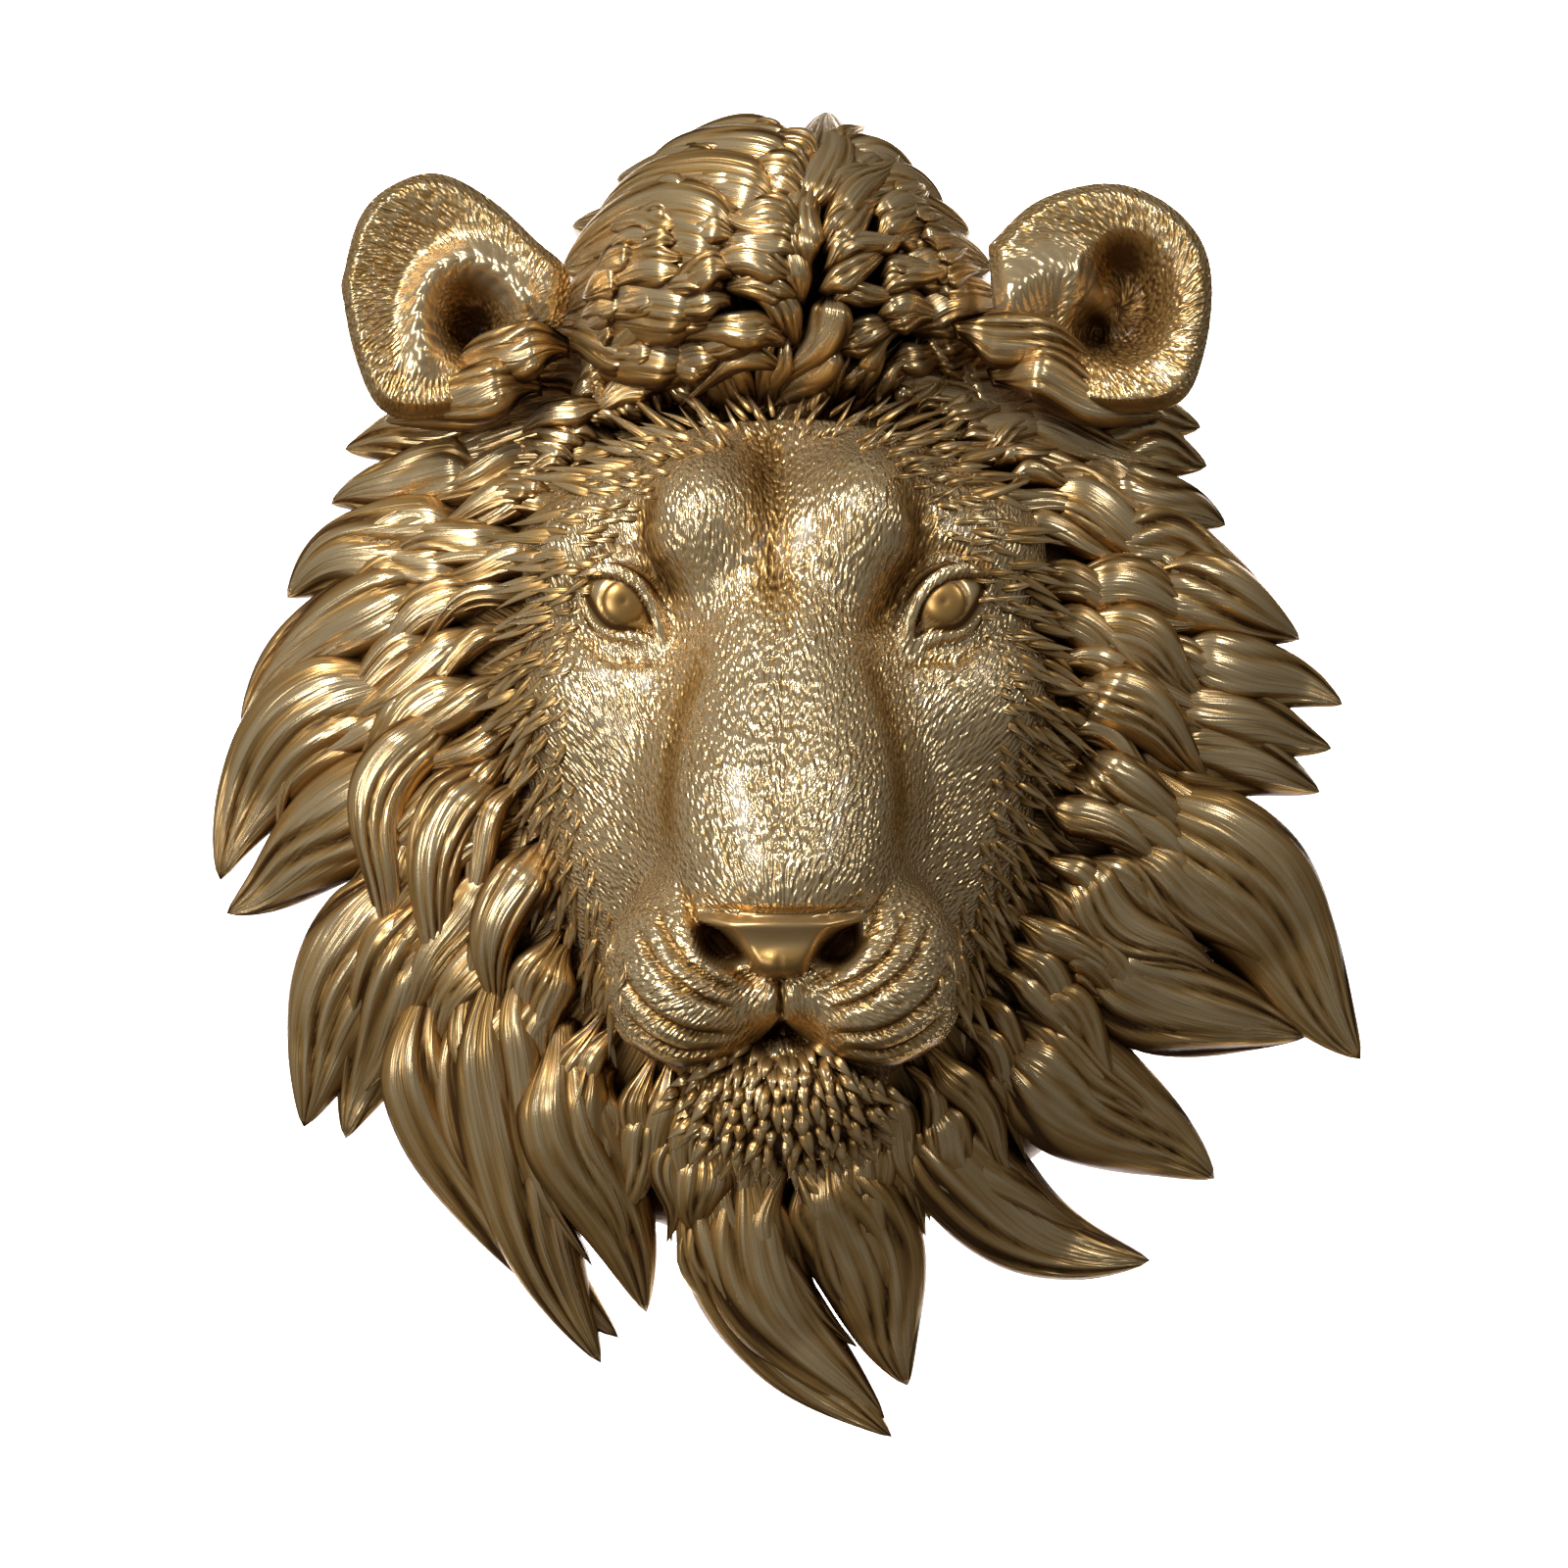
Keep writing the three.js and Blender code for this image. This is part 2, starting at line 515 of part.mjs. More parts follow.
function earSolid({ middle, hollow, tuft, lean }) {
  const spot = (angle, t) => [
    hollow[0] * (1 - t) + Math.cos(angle) * EAR_HALF[0] * t,
    hollow[1] * (1 - t) + Math.sin(angle) * EAR_HALF[1] * t,
  ];
  const place = ([x, z], height) => [middle[0] + x, height + (lean * x) / EAR_HALF[0], middle[1] + z];
  const front = ([x, z], t) => {
    const near = lengthOf((x - tuft[0]) / 9, (z - tuft[1]) / 12);
    return EAR_RIM - EAR_CUP * (1 - smooth(t / 0.85)) + 11 * (1 - smooth(near)) * smooth(t / 0.5);
  };
  const ringOf = (t, height) =>
    Array.from({ length: EAR_AROUND }, (_, i) => {
      const at = spot((i / EAR_AROUND) * 2 * Math.PI, t);
      return place(at, height(at));
    });
  const rings = [];
  for (let k = 1; k <= EAR_RINGS; k++) {
    const t = (k / EAR_RINGS) * 0.92;
    rings.push(ringOf(t, (at) => front(at, t)));
  }
  for (const [t, drop] of [[1, 0.5], [0.9, 1.6], [0.5, 2.6]]) {
    rings.push(ringOf(t, () => EAR_RIM - EAR_FLESH * drop));
  }
  return solidFromRings(place(hollow, EAR_RIM - EAR_CUP), rings, place([0, 0], EAR_RIM - EAR_FLESH * 3));
}

// Everything behind the wall's plane is cut away, which leaves the flat back.
function behindWall() {
  const far = 400 * carvingScale;
  const block = new THREE.BoxGeometry(far * 2, far, far * 2);
  block.translate(0, far / 2, 0);
  return solidFrom(block);
}

// The keyhole: a screw head goes in at the round hole, and its shank slides up the slot.
function keyholeCutters() {
  const entry = new THREE.CylinderGeometry(KEYHOLE_ENTRY / 2, KEYHOLE_ENTRY / 2, 2 * KEYHOLE_DEPTH, 24);
  const slot = new THREE.BoxGeometry(KEYHOLE_SLOT, 2 * KEYHOLE_LIP + 1, KEYHOLE_RISE);
  slot.translate(0, 0, KEYHOLE_RISE / 2);
  const channel = new THREE.BoxGeometry(KEYHOLE_ENTRY, KEYHOLE_DEPTH - KEYHOLE_LIP, KEYHOLE_RISE + 2);
  channel.translate(0, -(KEYHOLE_DEPTH + KEYHOLE_LIP) / 2, KEYHOLE_RISE / 2 + 1);
  return [entry, slot, channel].map((geometry) => solidFrom(geometry.translate(0, 0, KEYHOLE_UP)));
}

function maskGeometry() {
  const bareFace = faceSolid().add(nosePlate());
  const faceLines = faceCuts.flatMap(faceCutters);
  const faceHollows = [...faceLines, nostrilCutter(-1), nostrilCutter(1)];
  const face = faceHollows.reduce((solid, cut) => solid.subtract(cut), bareFace);
  const hair = [
    ...[...rimLocks, ...crestLocks].map((lock) => lockSolid(lock, rimSection)),
    ...frontLocks.map((lock) => lockSolid(lock, frontSection)),
    ...fringeRows.flatMap(fringeLocks).map((lock) => lockSolid(lock, fringeSection)),
  ];
  const head = [face, ...mounds.map(moundSolid), ...ears.map(earSolid), ...[-1, 1].flatMap(eyeSolids)];
  const joined = [...head, ...hair].reduce((solid, form) => solid.add(form));
  const carving = withoutSlivers(joined, SHORTEST_EDGE * carvingScale);
  const cast = carving.subtract(behindWall());
  const mask = keyholeCutters().reduce((solid, cut) => solid.subtract(cut), cast);
  const whole = mask.decompose().reduce((a, b) => (a.volume() > b.volume() ? a : b));
  const { vertProperties, triVerts } = whole.getMesh();
  const geometry = new THREE.BufferGeometry();
  geometry.setAttribute("position", new THREE.BufferAttribute(vertProperties, 3));
  geometry.setIndex(new THREE.BufferAttribute(triVerts, 1));
  return geometry;
}

const goldPaint = new THREE.MeshStandardMaterial({ color: 0x9c7f4a, roughness: 0.38, metalness: 0.9 });
const mask = new THREE.Mesh(maskGeometry(), goldPaint);
mask.name = "lion_mask";

const part = new THREE.Group();
part.add(mask);
export default part;
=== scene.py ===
import math

import bmesh
import bpy
import numpy as np
from mathutils import Matrix, Vector


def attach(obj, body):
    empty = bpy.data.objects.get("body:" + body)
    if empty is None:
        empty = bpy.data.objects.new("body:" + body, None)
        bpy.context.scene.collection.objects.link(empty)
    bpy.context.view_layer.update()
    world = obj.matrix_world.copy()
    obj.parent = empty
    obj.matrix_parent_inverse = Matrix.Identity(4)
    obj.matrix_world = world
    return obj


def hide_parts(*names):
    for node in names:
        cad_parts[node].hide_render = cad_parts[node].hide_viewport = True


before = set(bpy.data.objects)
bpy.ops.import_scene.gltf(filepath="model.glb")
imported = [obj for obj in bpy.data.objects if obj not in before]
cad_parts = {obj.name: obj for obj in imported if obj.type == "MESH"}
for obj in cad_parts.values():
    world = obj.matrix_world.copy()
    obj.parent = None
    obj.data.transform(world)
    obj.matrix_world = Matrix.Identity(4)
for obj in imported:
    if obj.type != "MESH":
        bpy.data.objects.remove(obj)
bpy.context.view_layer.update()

# The lion mask is carved here at full detail. As in the solid, forms are laid out as x, h, z in
# millimetres, where h is the height off the wall, and the wall is the plane y = 0.
MM = 0.001
SEED = 7
rng = np.random.default_rng(SEED)


# Camera: level, straight in front, as far as the size of the mask in the photograph asks.
CAMERA_AWAY = 0.8
FRAME_AT_WALL = 0.3556  # the picture's height where the wall is
SENSOR = 36
camera_data = bpy.data.cameras.new("camera")
camera_data.sensor_width = SENSOR
camera_data.lens = SENSOR * CAMERA_AWAY / FRAME_AT_WALL
camera = bpy.data.objects.new("camera", camera_data)
camera.location = (0, -CAMERA_AWAY, 0)
camera.rotation_euler = (math.pi / 2, 0, 0)
bpy.context.scene.collection.objects.link(camera)
bpy.context.scene.camera = camera


# Floor and backdrop: one pale sheet, well below and behind the mask, that sweeps up.
FLOOR_Z = -0.7
FLOOR_FRONT = 0.55
SHEET_WIDE = 1.3
SHEET_TOP = 0.65
BACKDROP_Y = 1.1
SWEEP_RADIUS = 0.45
SWEEP_STEPS = 16
PAPER_COLOUR = (0.9, 0.9, 0.9, 1)
PAPER_ROUGH = 0.9
profile = [(FLOOR_FRONT, FLOOR_Z)]
for step in range(SWEEP_STEPS + 1):
    turn = math.pi / 2 * step / SWEEP_STEPS
    y = BACKDROP_Y - SWEEP_RADIUS + SWEEP_RADIUS * math.sin(turn)
    profile.append((y, FLOOR_Z + SWEEP_RADIUS * (1 - math.cos(turn))))
profile.append((BACKDROP_Y, SHEET_TOP))
stage_mesh = bmesh.new()
rim = [stage_mesh.verts.new((-SHEET_WIDE / 2, y, z)) for y, z in profile]
edges = [stage_mesh.edges.new(pair) for pair in zip(rim, rim[1:])]
swept = bmesh.ops.extrude_edge_only(stage_mesh, edges=edges)
bmesh.ops.translate(
    stage_mesh, vec=(SHEET_WIDE, 0, 0), verts=[v for v in swept["geom"] if isinstance(v, bmesh.types.BMVert)]
)
bmesh.ops.recalc_face_normals(stage_mesh, faces=stage_mesh.faces)
backdrop_data = bpy.data.meshes.new("backdrop")
stage_mesh.to_mesh(backdrop_data)
stage_mesh.free()
backdrop_data.shade_smooth()
backdrop = bpy.data.objects.new("backdrop", backdrop_data)
bpy.context.scene.collection.objects.link(backdrop)
paper = bpy.data.materials.new("backdrop_paper")
paper.use_nodes = True
paper.node_tree.nodes["Principled BSDF"].inputs["Base Color"].default_value = PAPER_COLOUR
paper.node_tree.nodes["Principled BSDF"].inputs["Roughness"].default_value = PAPER_ROUGH
backdrop_data.materials.append(paper)


# Lights: a strong one above to the left, weak ones above to the right and low on the left, and one
# over the backdrop alone, which keeps the ground white. The air adds a little from all round.
LIGHTS = [
    # name, place, what it looks at, size, watts, spread in degrees
    ("key", (-0.75, -1.0, 0.9), (0, 0, 0), (0.5, 0.4), 22, 180),
    ("side", (0.9, -0.7, 0.75), (0, 0, 0), (0.3, 0.5), 4, 180),
    ("fill", (-0.9, -1.0, -0.15), (0, 0, -0.02), (0.5, 0.6), 7, 180),
    ("ground", (0, 0.3, 1.3), (0, 1.1, 0.2), (2.5, 0.5), 70, 75),
]
AIR_COLOUR = (1.0, 0.97, 0.93, 1)
AIR_STRENGTH = 0.13
for name, place, aim, size, watts, spread in LIGHTS:
    data = bpy.data.lights.new(name, "AREA")
    data.spread = math.radians(spread)
    data.shape = "RECTANGLE"
    data.size, data.size_y = size
    data.energy = watts
    light = bpy.data.objects.new(name, data)
    light.location = place
    light.rotation_euler = (Vector(aim) - Vector(place)).to_track_quat("-Z", "Y").to_euler()
    bpy.context.scene.collection.objects.link(light)
bpy.context.scene.view_settings.view_transform = "Standard"
world = bpy.data.worlds.new("world")
bpy.context.scene.world = world
world.use_nodes = True
world.node_tree.nodes["Background"].inputs["Color"].default_value = AIR_COLOUR
world.node_tree.nodes["Background"].inputs["Strength"].default_value = AIR_STRENGTH


# Gold paint. One finish for every piece: a warm metallic paint, pale gold on the crests, that is
# turned brown in the hollows by painted shade. Short strokes of fur follow the fur's own direction on
# the face and ears, and fine lines follow each lock of hair. Both fade out where a surface looks down.
# the paint's own colour on the crests, then its colours under half and under full painted shade
GOLD_CREST = (0.66, 0.50, 0.28, 1)
GOLD_HALF_SHADE = (0.45, 0.265, 0.085, 1)
GOLD_FULL_SHADE = (0.09, 0.042, 0.012, 1)
HALF_SHADE_AT = 0.42  # how deep in painted shade the places of the middle colour are
ROUGH_CREST = 0.23
ROUGH_HOLLOW = 0.5
METALLIC = 0.75
EDGE_TINT = (0.55, 0.42, 0.28, 1)
COAT = 0.22
COAT_ROUGH = 0.2
MOTTLE_SCALE = 60
MOTTLE = 0.35  # how far the mottling shifts the colour, from its lightest to its darkest
FUR_DIRECTIONS = 8
FUR_STROKE = (2.4, 1.3, 0.66)  # spacing of the strokes along, through and across them
FUR_DEPTH = 1.1
FUR_STROKE_SHADE = 0.65  # painted shade in the lows between strokes: how much darker they are, as a share of the colours
HAIR_LINES = (0.62, 0.03, 1)  # how close the lines are, across and along a lock
HAIR_WARP = 0.25
HAIR_DEPTH = 0.7
# painted shade in the lows between the lines of a lock
HAIR_LINE_SHADE = 0.45
FADE_FROM = -0.9  # how far down the surface looks where the relief is gone, and where it is whole
FADE_TO = -0.45
GRAIN_SCALE = 1600
GRAIN_DEPTH = 0.05
GRAIN_STRENGTH = 0.35


def add_node(tree, kind, inputs, **settings):
    """A shader node, whose inputs are values or the outputs of other nodes."""
    node = tree.nodes.new("ShaderNode" + kind)
    for key, value in settings.items():
        setattr(node, key, value)
    for key, value in inputs.items():
        if isinstance(value, bpy.types.NodeSocket):
            tree.links.new(value, node.inputs[key])
        else:
            node.inputs[key].default_value = value
    return node


def add_math(tree, operation, *values):
    """The result of a sum on values or on the outputs of other nodes."""
    return add_node(tree, "Math", dict(enumerate(values)), operation=operation).outputs[0]


def fur_group():
    """Noise drawn out along eight directions, each showing where the fur runs that way."""
    group = bpy.data.node_groups.new("fur_strokes", "ShaderNodeTree")
    group.interface.new_socket("Direction", in_out="INPUT", socket_type="NodeSocketVector")
    group.interface.new_socket("Height", in_out="OUTPUT", socket_type="NodeSocketFloat")
    start = group.nodes.new("NodeGroupInput")
    end = group.nodes.new("NodeGroupOutput")
    place = add_node(group, "TexCoord", {})
    size = [spacing * MM for spacing in FUR_STROKE]
    total = 0.0
    for k in range(FUR_DIRECTIONS):
        angle = math.pi * k / FUR_DIRECTIONS
        turned = add_node(
            group, "Mapping",
            {"Vector": place.outputs["Object"], "Rotation": (0, -angle, 0), "Scale": size},
            vector_type="TEXTURE",
        )
        noise = add_node(
            group, "TexNoise", {"Vector": turned.outputs["Vector"], "Scale": 1, "Detail": 0},
            noise_dimensions="3D",
        )
        way = (math.cos(2 * angle), math.sin(2 * angle), 0)
        match = add_node(
            group, "VectorMath", {0: start.outputs["Direction"], 1: way}, operation="DOT_PRODUCT"
        )
        apart = add_math(group, "ARCCOSINE", match.outputs["Value"])
        weight = add_node(
            group, "MapRange", {"Value": apart, "From Min": 2 * math.pi / FUR_DIRECTIONS, "From Max": 0}
        )
        total = add_math(group, "MULTIPLY_ADD", noise.outputs[0], weight.outputs["Result"], total)
    group.links.new(total, end.inputs["Height"])
    return group


def paint_group():
    """The paint's colour and roughness from how much painted shade a place has and from the worn mottling."""
    group = bpy.data.node_groups.new("gold_colour", "ShaderNodeTree")
    group.interface.new_socket("PaintedShade", in_out="INPUT", socket_type="NodeSocketFloat")
    group.interface.new_socket("Color", in_out="OUTPUT", socket_type="NodeSocketColor")
    group.interface.new_socket("Rough", in_out="OUTPUT", socket_type="NodeSocketFloat")
    start = group.nodes.new("NodeGroupInput")
    end = group.nodes.new("NodeGroupOutput")
    place = add_node(group, "TexCoord", {})
    mottle = add_node(
        group, "TexNoise", {"Vector": place.outputs["Object"], "Scale": MOTTLE_SCALE, "Detail": 3}
    )
    varied = add_math(group, "MULTIPLY_ADD", mottle.outputs[0], MOTTLE, start.outputs["PaintedShade"])
    shifted = add_math(group, "SUBTRACT", varied, MOTTLE / 2)
    ramp = add_node(group, "ValToRGB", {"Fac": shifted})
    ramp.color_ramp.elements[0].color = GOLD_CREST
    ramp.color_ramp.elements[1].color = GOLD_FULL_SHADE
    middle = ramp.color_ramp.elements.new(HALF_SHADE_AT)
    middle.color = GOLD_HALF_SHADE
    rough = add_node(
        group, "MapRange", {"Value": shifted, "To Min": ROUGH_CREST, "To Max": ROUGH_HOLLOW}
    )
    group.links.new(ramp.outputs["Color"], end.inputs["Color"])
    group.links.new(rough.outputs["Result"], end.inputs["Rough"])
    return group


fur_strokes = fur_group()
gold_colour = paint_group()


def gold_material(name, furry, relief_depth, relief_shade):
    """Gold paint over strokes of fur, or over the lines of a lock of hair, with painted shade in their lows.
    """
    material = bpy.data.materials.new(name)
    material.use_nodes = True
    tree = material.node_tree
    place = add_node(tree, "TexCoord", {})
    painted_shade = add_node(tree, "Attribute", {}, attribute_name="painted_shade").outputs["Fac"]
    bare = add_node(tree, "Attribute", {}, attribute_name="bare").outputs["Fac"]
    if furry:
        way = add_node(tree, "Attribute", {}, attribute_name="fur_way").outputs["Vector"]
        relief = add_node(tree, "Group", {"Direction": way}, node_tree=fur_strokes).outputs["Height"]
    else:
        along = add_node(tree, "UVMap", {}, uv_map="hair")
        stretched = add_node(tree, "Mapping", {"Vector": along.outputs["UV"], "Scale": HAIR_LINES})
        lines = add_node(
            tree, "TexNoise",
            {"Vector": stretched.outputs["Vector"], "Scale": 1, "Detail": 2, "Distortion": HAIR_WARP},
            noise_dimensions="2D",
        )
        relief = lines.outputs[0]
    cover = add_math(tree, "SUBTRACT", 1.0, bare)
    facing = add_node(tree, "SeparateXYZ", {0: place.outputs["Normal"]})
    fade = add_node(
        tree, "MapRange", {"Value": facing.outputs["Z"], "From Min": FADE_FROM, "From Max": FADE_TO}
    )
    shown = add_math(tree, "MULTIPLY", cover, fade.outputs["Result"])
    masked = add_math(tree, "MULTIPLY", relief, shown)
    # painted shade: the skin is darkened and the strokes or lines lift it back, so their lows stay dark; the
    # painted shade of the hollows comes on top
    level = add_math(tree, "MULTIPLY_ADD", cover, relief_shade, painted_shade)
    dark = add_math(tree, "MULTIPLY_ADD", masked, -2 * relief_shade, level)
    colour = add_node(tree, "Group", {"PaintedShade": dark}, node_tree=gold_colour)
    grain = add_node(
        tree, "TexNoise", {"Vector": place.outputs["Object"], "Scale": GRAIN_SCALE, "Detail": 1}
    )
    fine = add_node(
        tree, "Bump",
        {"Height": grain.outputs[0], "Distance": GRAIN_DEPTH * MM, "Strength": GRAIN_STRENGTH},
    )
    bump = add_node(
        tree, "Bump",
        {"Height": masked, "Distance": relief_depth * MM, "Normal": fine.outputs["Normal"]},
    )
    shader = tree.nodes["Principled BSDF"]
    shader.inputs["Metallic"].default_value = METALLIC
    shader.inputs["Specular Tint"].default_value = EDGE_TINT
    shader.inputs["Coat Weight"].default_value = COAT
    shader.inputs["Coat Roughness"].default_value = COAT_ROUGH
    tree.links.new(colour.outputs["Color"], shader.inputs["Base Color"])
    tree.links.new(colour.outputs["Rough"], shader.inputs["Roughness"])
    tree.links.new(bump.outputs["Normal"], shader.inputs["Normal"])
    return material


face_gold = gold_material("gold_paint_fur", True, FUR_DEPTH, FUR_STROKE_SHADE)
hair_gold = gold_material("gold_paint_hair", False, HAIR_DEPTH, HAIR_LINE_SHADE)


def add_piece(name, mesh, points, material, painted_shade, bare, uv=None, fur_way=None):
    """Puts x, h, z points into a mesh and hands the piece over to the frame."""
    mesh.vertices.foreach_set("co", np.ravel(points * (MM, -MM, MM)).astype(np.float32))
    for label, values in (("painted_shade", painted_shade), ("bare", bare)):
        layer = mesh.attributes.new(label, "FLOAT", "POINT")
        spread = np.broadcast_to(values, len(points))
        layer.data.foreach_set("value", np.ascontiguousarray(spread, np.float32))
    if fur_way is not None:
        layer = mesh.attributes.new("fur_way", "FLOAT_VECTOR", "POINT")
        layer.data.foreach_set("vector", np.ascontiguousarray(fur_way, np.float32).ravel())
    if uv is not None:
        corners = np.empty(len(mesh.loops), np.int32)
        mesh.loops.foreach_get("vertex_index", corners)
        layer = mesh.uv_layers.new(name="hair")
        layer.data.foreach_set("uv", uv[corners].astype(np.float32).ravel())
    mesh.update()
    mesh.shade_smooth()
    mesh.materials.append(material)
    obj = bpy.data.objects.new(name, mesh)
    bpy.context.scene.collection.objects.link(obj)
    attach(obj, "root")
    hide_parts("lion_mask")


def smoothstep(t):
    t = np.clip(t, 0, 1)
    return t * t * (3 - 2 * t)


# Backing: the two low mounds that carry the mane, with the keyhole cut in their flat back.
MANE_RIM = 7
MOUND_SLOPE = 1.15  # 1 is a parabola's slope, and more makes the rim flatter
MOUND_INSET = (20, 5, 20)  # how much smaller the backing is, across, off the wall and up
MOUNDS = [
    {"middle": (0, 2), "half": (118, 126), "crown": 54},
    {"middle": (-2, 110), "half": (58, 43), "crown": 61},
]
KEYHOLE = {"entry": 12, "slot": 6.5, "rise": 14, "depth": 9, "lip": 3, "up": 62}
# the backing shows only in the gaps under the locks, and is darkened all over with painted shade
BACKING_PAINTED_SHADE = 0.75
BACKING_EDGE = 40  # edges sharper than this many degrees stay sharp


def mane_height(x, z):
    height = np.full(np.shape(x), float(MANE_RIM))
    for mound in MOUNDS:
        (cx, cz), (hx, hz) = mound["middle"], mound["half"]
        inside = np.maximum(0, 1 - ((x - cx) / hx) ** 2 - ((z - cz) / hz) ** 2) ** MOUND_SLOPE
        height = np.maximum(height, MANE_RIM + (mound["crown"] - MANE_RIM) * inside)
    return height


def mound_object(mound):
    bm = bmesh.new()
    bmesh.ops.create_uvsphere(bm, u_segments=128, v_segments=64, radius=1)
    full = (mound["half"][0], mound["crown"], mound["half"][1])
    half = [size - inset for size, inset in zip(full, MOUND_INSET)]
    bmesh.ops.scale(bm, vec=[size * MM for size in half], verts=bm.verts)
    bmesh.ops.translate(bm, vec=(mound["middle"][0] * MM, 0, mound["middle"][1] * MM), verts=bm.verts)
    cut = bmesh.ops.bisect_plane(
        bm, geom=bm.verts[:] + bm.edges[:] + bm.faces[:], plane_co=(0, 0, 0), plane_no=(0, 1, 0),
        clear_outer=True,
    )
    bmesh.ops.contextual_create(bm, geom=[e for e in cut["geom_cut"] if isinstance(e, bmesh.types.BMEdge)])
    bmesh.ops.recalc_face_normals(bm, faces=bm.faces)
    mesh = bpy.data.meshes.new("mound")
    bm.to_mesh(mesh)
    bm.free()
    obj = bpy.data.objects.new("mound", mesh)
    bpy.context.scene.collection.objects.link(obj)
    return obj


def keyhole_cutters():
    """The round entry, the slot above it, and the room behind the slot's lips."""
    bm = bmesh.new()
    entry = bmesh.ops.create_cone(
        bm, cap_ends=True, segments=40, radius1=KEYHOLE["entry"] / 2 * MM, radius2=KEYHOLE["entry"] / 2 * MM,
        depth=2 * KEYHOLE["depth"] * MM,
    )
    level = Vector((0, 0, 1)).rotation_difference(Vector((0, 1, 0))).to_matrix()
    bmesh.ops.rotate(bm, matrix=level, verts=entry["verts"])
    entry_mesh = bpy.data.meshes.new("keyhole_entry")
    bm.to_mesh(entry_mesh)
    bm.free()
    pieces = [entry_mesh]
    rise = KEYHOLE["rise"]
    sizes = [
        ((KEYHOLE["slot"], 2 * KEYHOLE["lip"] + 1, rise), (0, 0, rise / 2)),
        (
            (KEYHOLE["entry"], KEYHOLE["depth"] - KEYHOLE["lip"], rise + 2),
            (0, -(KEYHOLE["depth"] + KEYHOLE["lip"]) / 2, rise / 2 + 1),
        ),
    ]
    for size, place in sizes:
        bm = bmesh.new()
        cube = bmesh.ops.create_cube(bm, size=1)
        bmesh.ops.scale(bm, vec=[s * MM for s in size], verts=cube["verts"])
        bmesh.ops.translate(bm, vec=[p * MM for p in place], verts=cube["verts"])
        box = bpy.data.meshes.new("keyhole_box")
        bm.to_mesh(box)
        bm.free()
        pieces.append(box)
    cutters = []
    for mesh in pieces:
        cutter = bpy.data.objects.new("keyhole_cutter", mesh)
        mesh.transform(Matrix.Translation((0, 0, KEYHOLE["up"] * MM)))
        bpy.context.scene.collection.objects.link(cutter)
        cutters.append(cutter)
    return cutters


backing, upper_mound = [mound_object(mound) for mound in MOUNDS]
cutters = keyhole_cutters()
for operation, other in [("UNION", upper_mound)] + [("DIFFERENCE", cutter) for cutter in cutters]:
    joint = backing.modifiers.new("join", "BOOLEAN")
    joint.operation = operation
    joint.object = other
    joint.solver = "EXACT"
    evaluated = backing.evaluated_get(bpy.context.evaluated_depsgraph_get())
    joined = bpy.data.meshes.new_from_object(evaluated)
    backing.modifiers.clear()
    backing.data = joined
for helper in [upper_mound] + cutters:
    bpy.data.objects.remove(helper)
bpy.data.objects.remove(backing)
mound_points = np.empty(len(joined.vertices) * 3, np.float32)
joined.vertices.foreach_get("co", mound_points)
mound_points = mound_points.reshape(-1, 3) / MM * (1, -1, 1)
compass = np.arctan2(mound_points[:, 0], mound_points[:, 2])
mound_uv = np.stack([np.abs(compass) * 70, np.hypot(mound_points[:, 0], mound_points[:, 2])], 1)
flat_back = np.where(mound_points[:, 1] < 0.5, 1.0, 0.0)
add_piece("backing", joined, mound_points, hair_gold, BACKING_PAINTED_SHADE, flat_back, uv=mound_uv)
joined.set_sharp_from_angle(angle=math.radians(BACKING_EDGE))


# The mane's outer locks, from under the left ear down, round and up the right. Each lock is a
# grooved leaf that stands on the wall, and narrower leaves lie over the broad ones.
LEFT_RIM = 13  # how many of these locks are on the left
OVER_FROM = 23  # the least width of those with narrower ones over them
RIM_LOCKS = [
    # root, tip, wide, bow, curl, lift
    ((-62, 80), (-99, 76), 18, 0, 0, 0),
    ((-62, 67), (-102, 63), 20, -2, -3, 0),
    ((-66, 50), (-112, 42), 28, -6, -9, 0),
    ((-70, 46), (-121, 12), 24, -7, -10, 0),
    ((-80, 24), (-125, -22), 30, -10, -16, 0),
    ((-72, 8), (-125, -30), 28, -2, 2, 0),
    ((-78, -14), (-109, -77), 32, -2, -4, 0),
    ((-72, -22), (-101, -79), 26, -2, -2, 0),
    ((-74, -36), (-40, -127), 26, -25, -12, 2),
    ((-60, -36), (-39, -129), 28, -17, -9, 4),
    ((-48, -50), (-34, -119), 26, -6, 2, 4),
    ((-14, -76), (22, -149), 24, -25, -8, 2),
    ((-8, -78), (23, -142), 26, -16, -12, 4),
    ((9, -76), (25, -136), 31, 1, 0, 2),
    ((24, -68), (82, -110), 28, -8, -12, 0),
    ((42, -54), (96, -90), 34, 3, 2, 0),
    ((60, -36), (117, -59), 29, -1, -1, 0),
    ((70, -2), (131, -61), 38, 11, 3, 0),
    ((78, 8), (121, -1), 20, 2, 2, 0),
    ((78, 16), (123, 7), 20, 2, 2, 0),
    ((82, 28), (126, 19), 20, 3, 2, 2),
    ((76, 44), (115, 31), 22, 3, 3, 3),
    ((66, 54), (107, 45), 19, 2, 2, 2),
    ((66, 64), (99, 58), 18, 2, 2, 1),
    ((62, 74), (95, 71), 19, 2, 2, 0),
    ((62, 84), (94, 81), 18, 1, 1, 0),
]


LOCK_THICK = 0.28  # how thick a lock is, as a share of its width, and how much more
LOCK_LEAST = 2


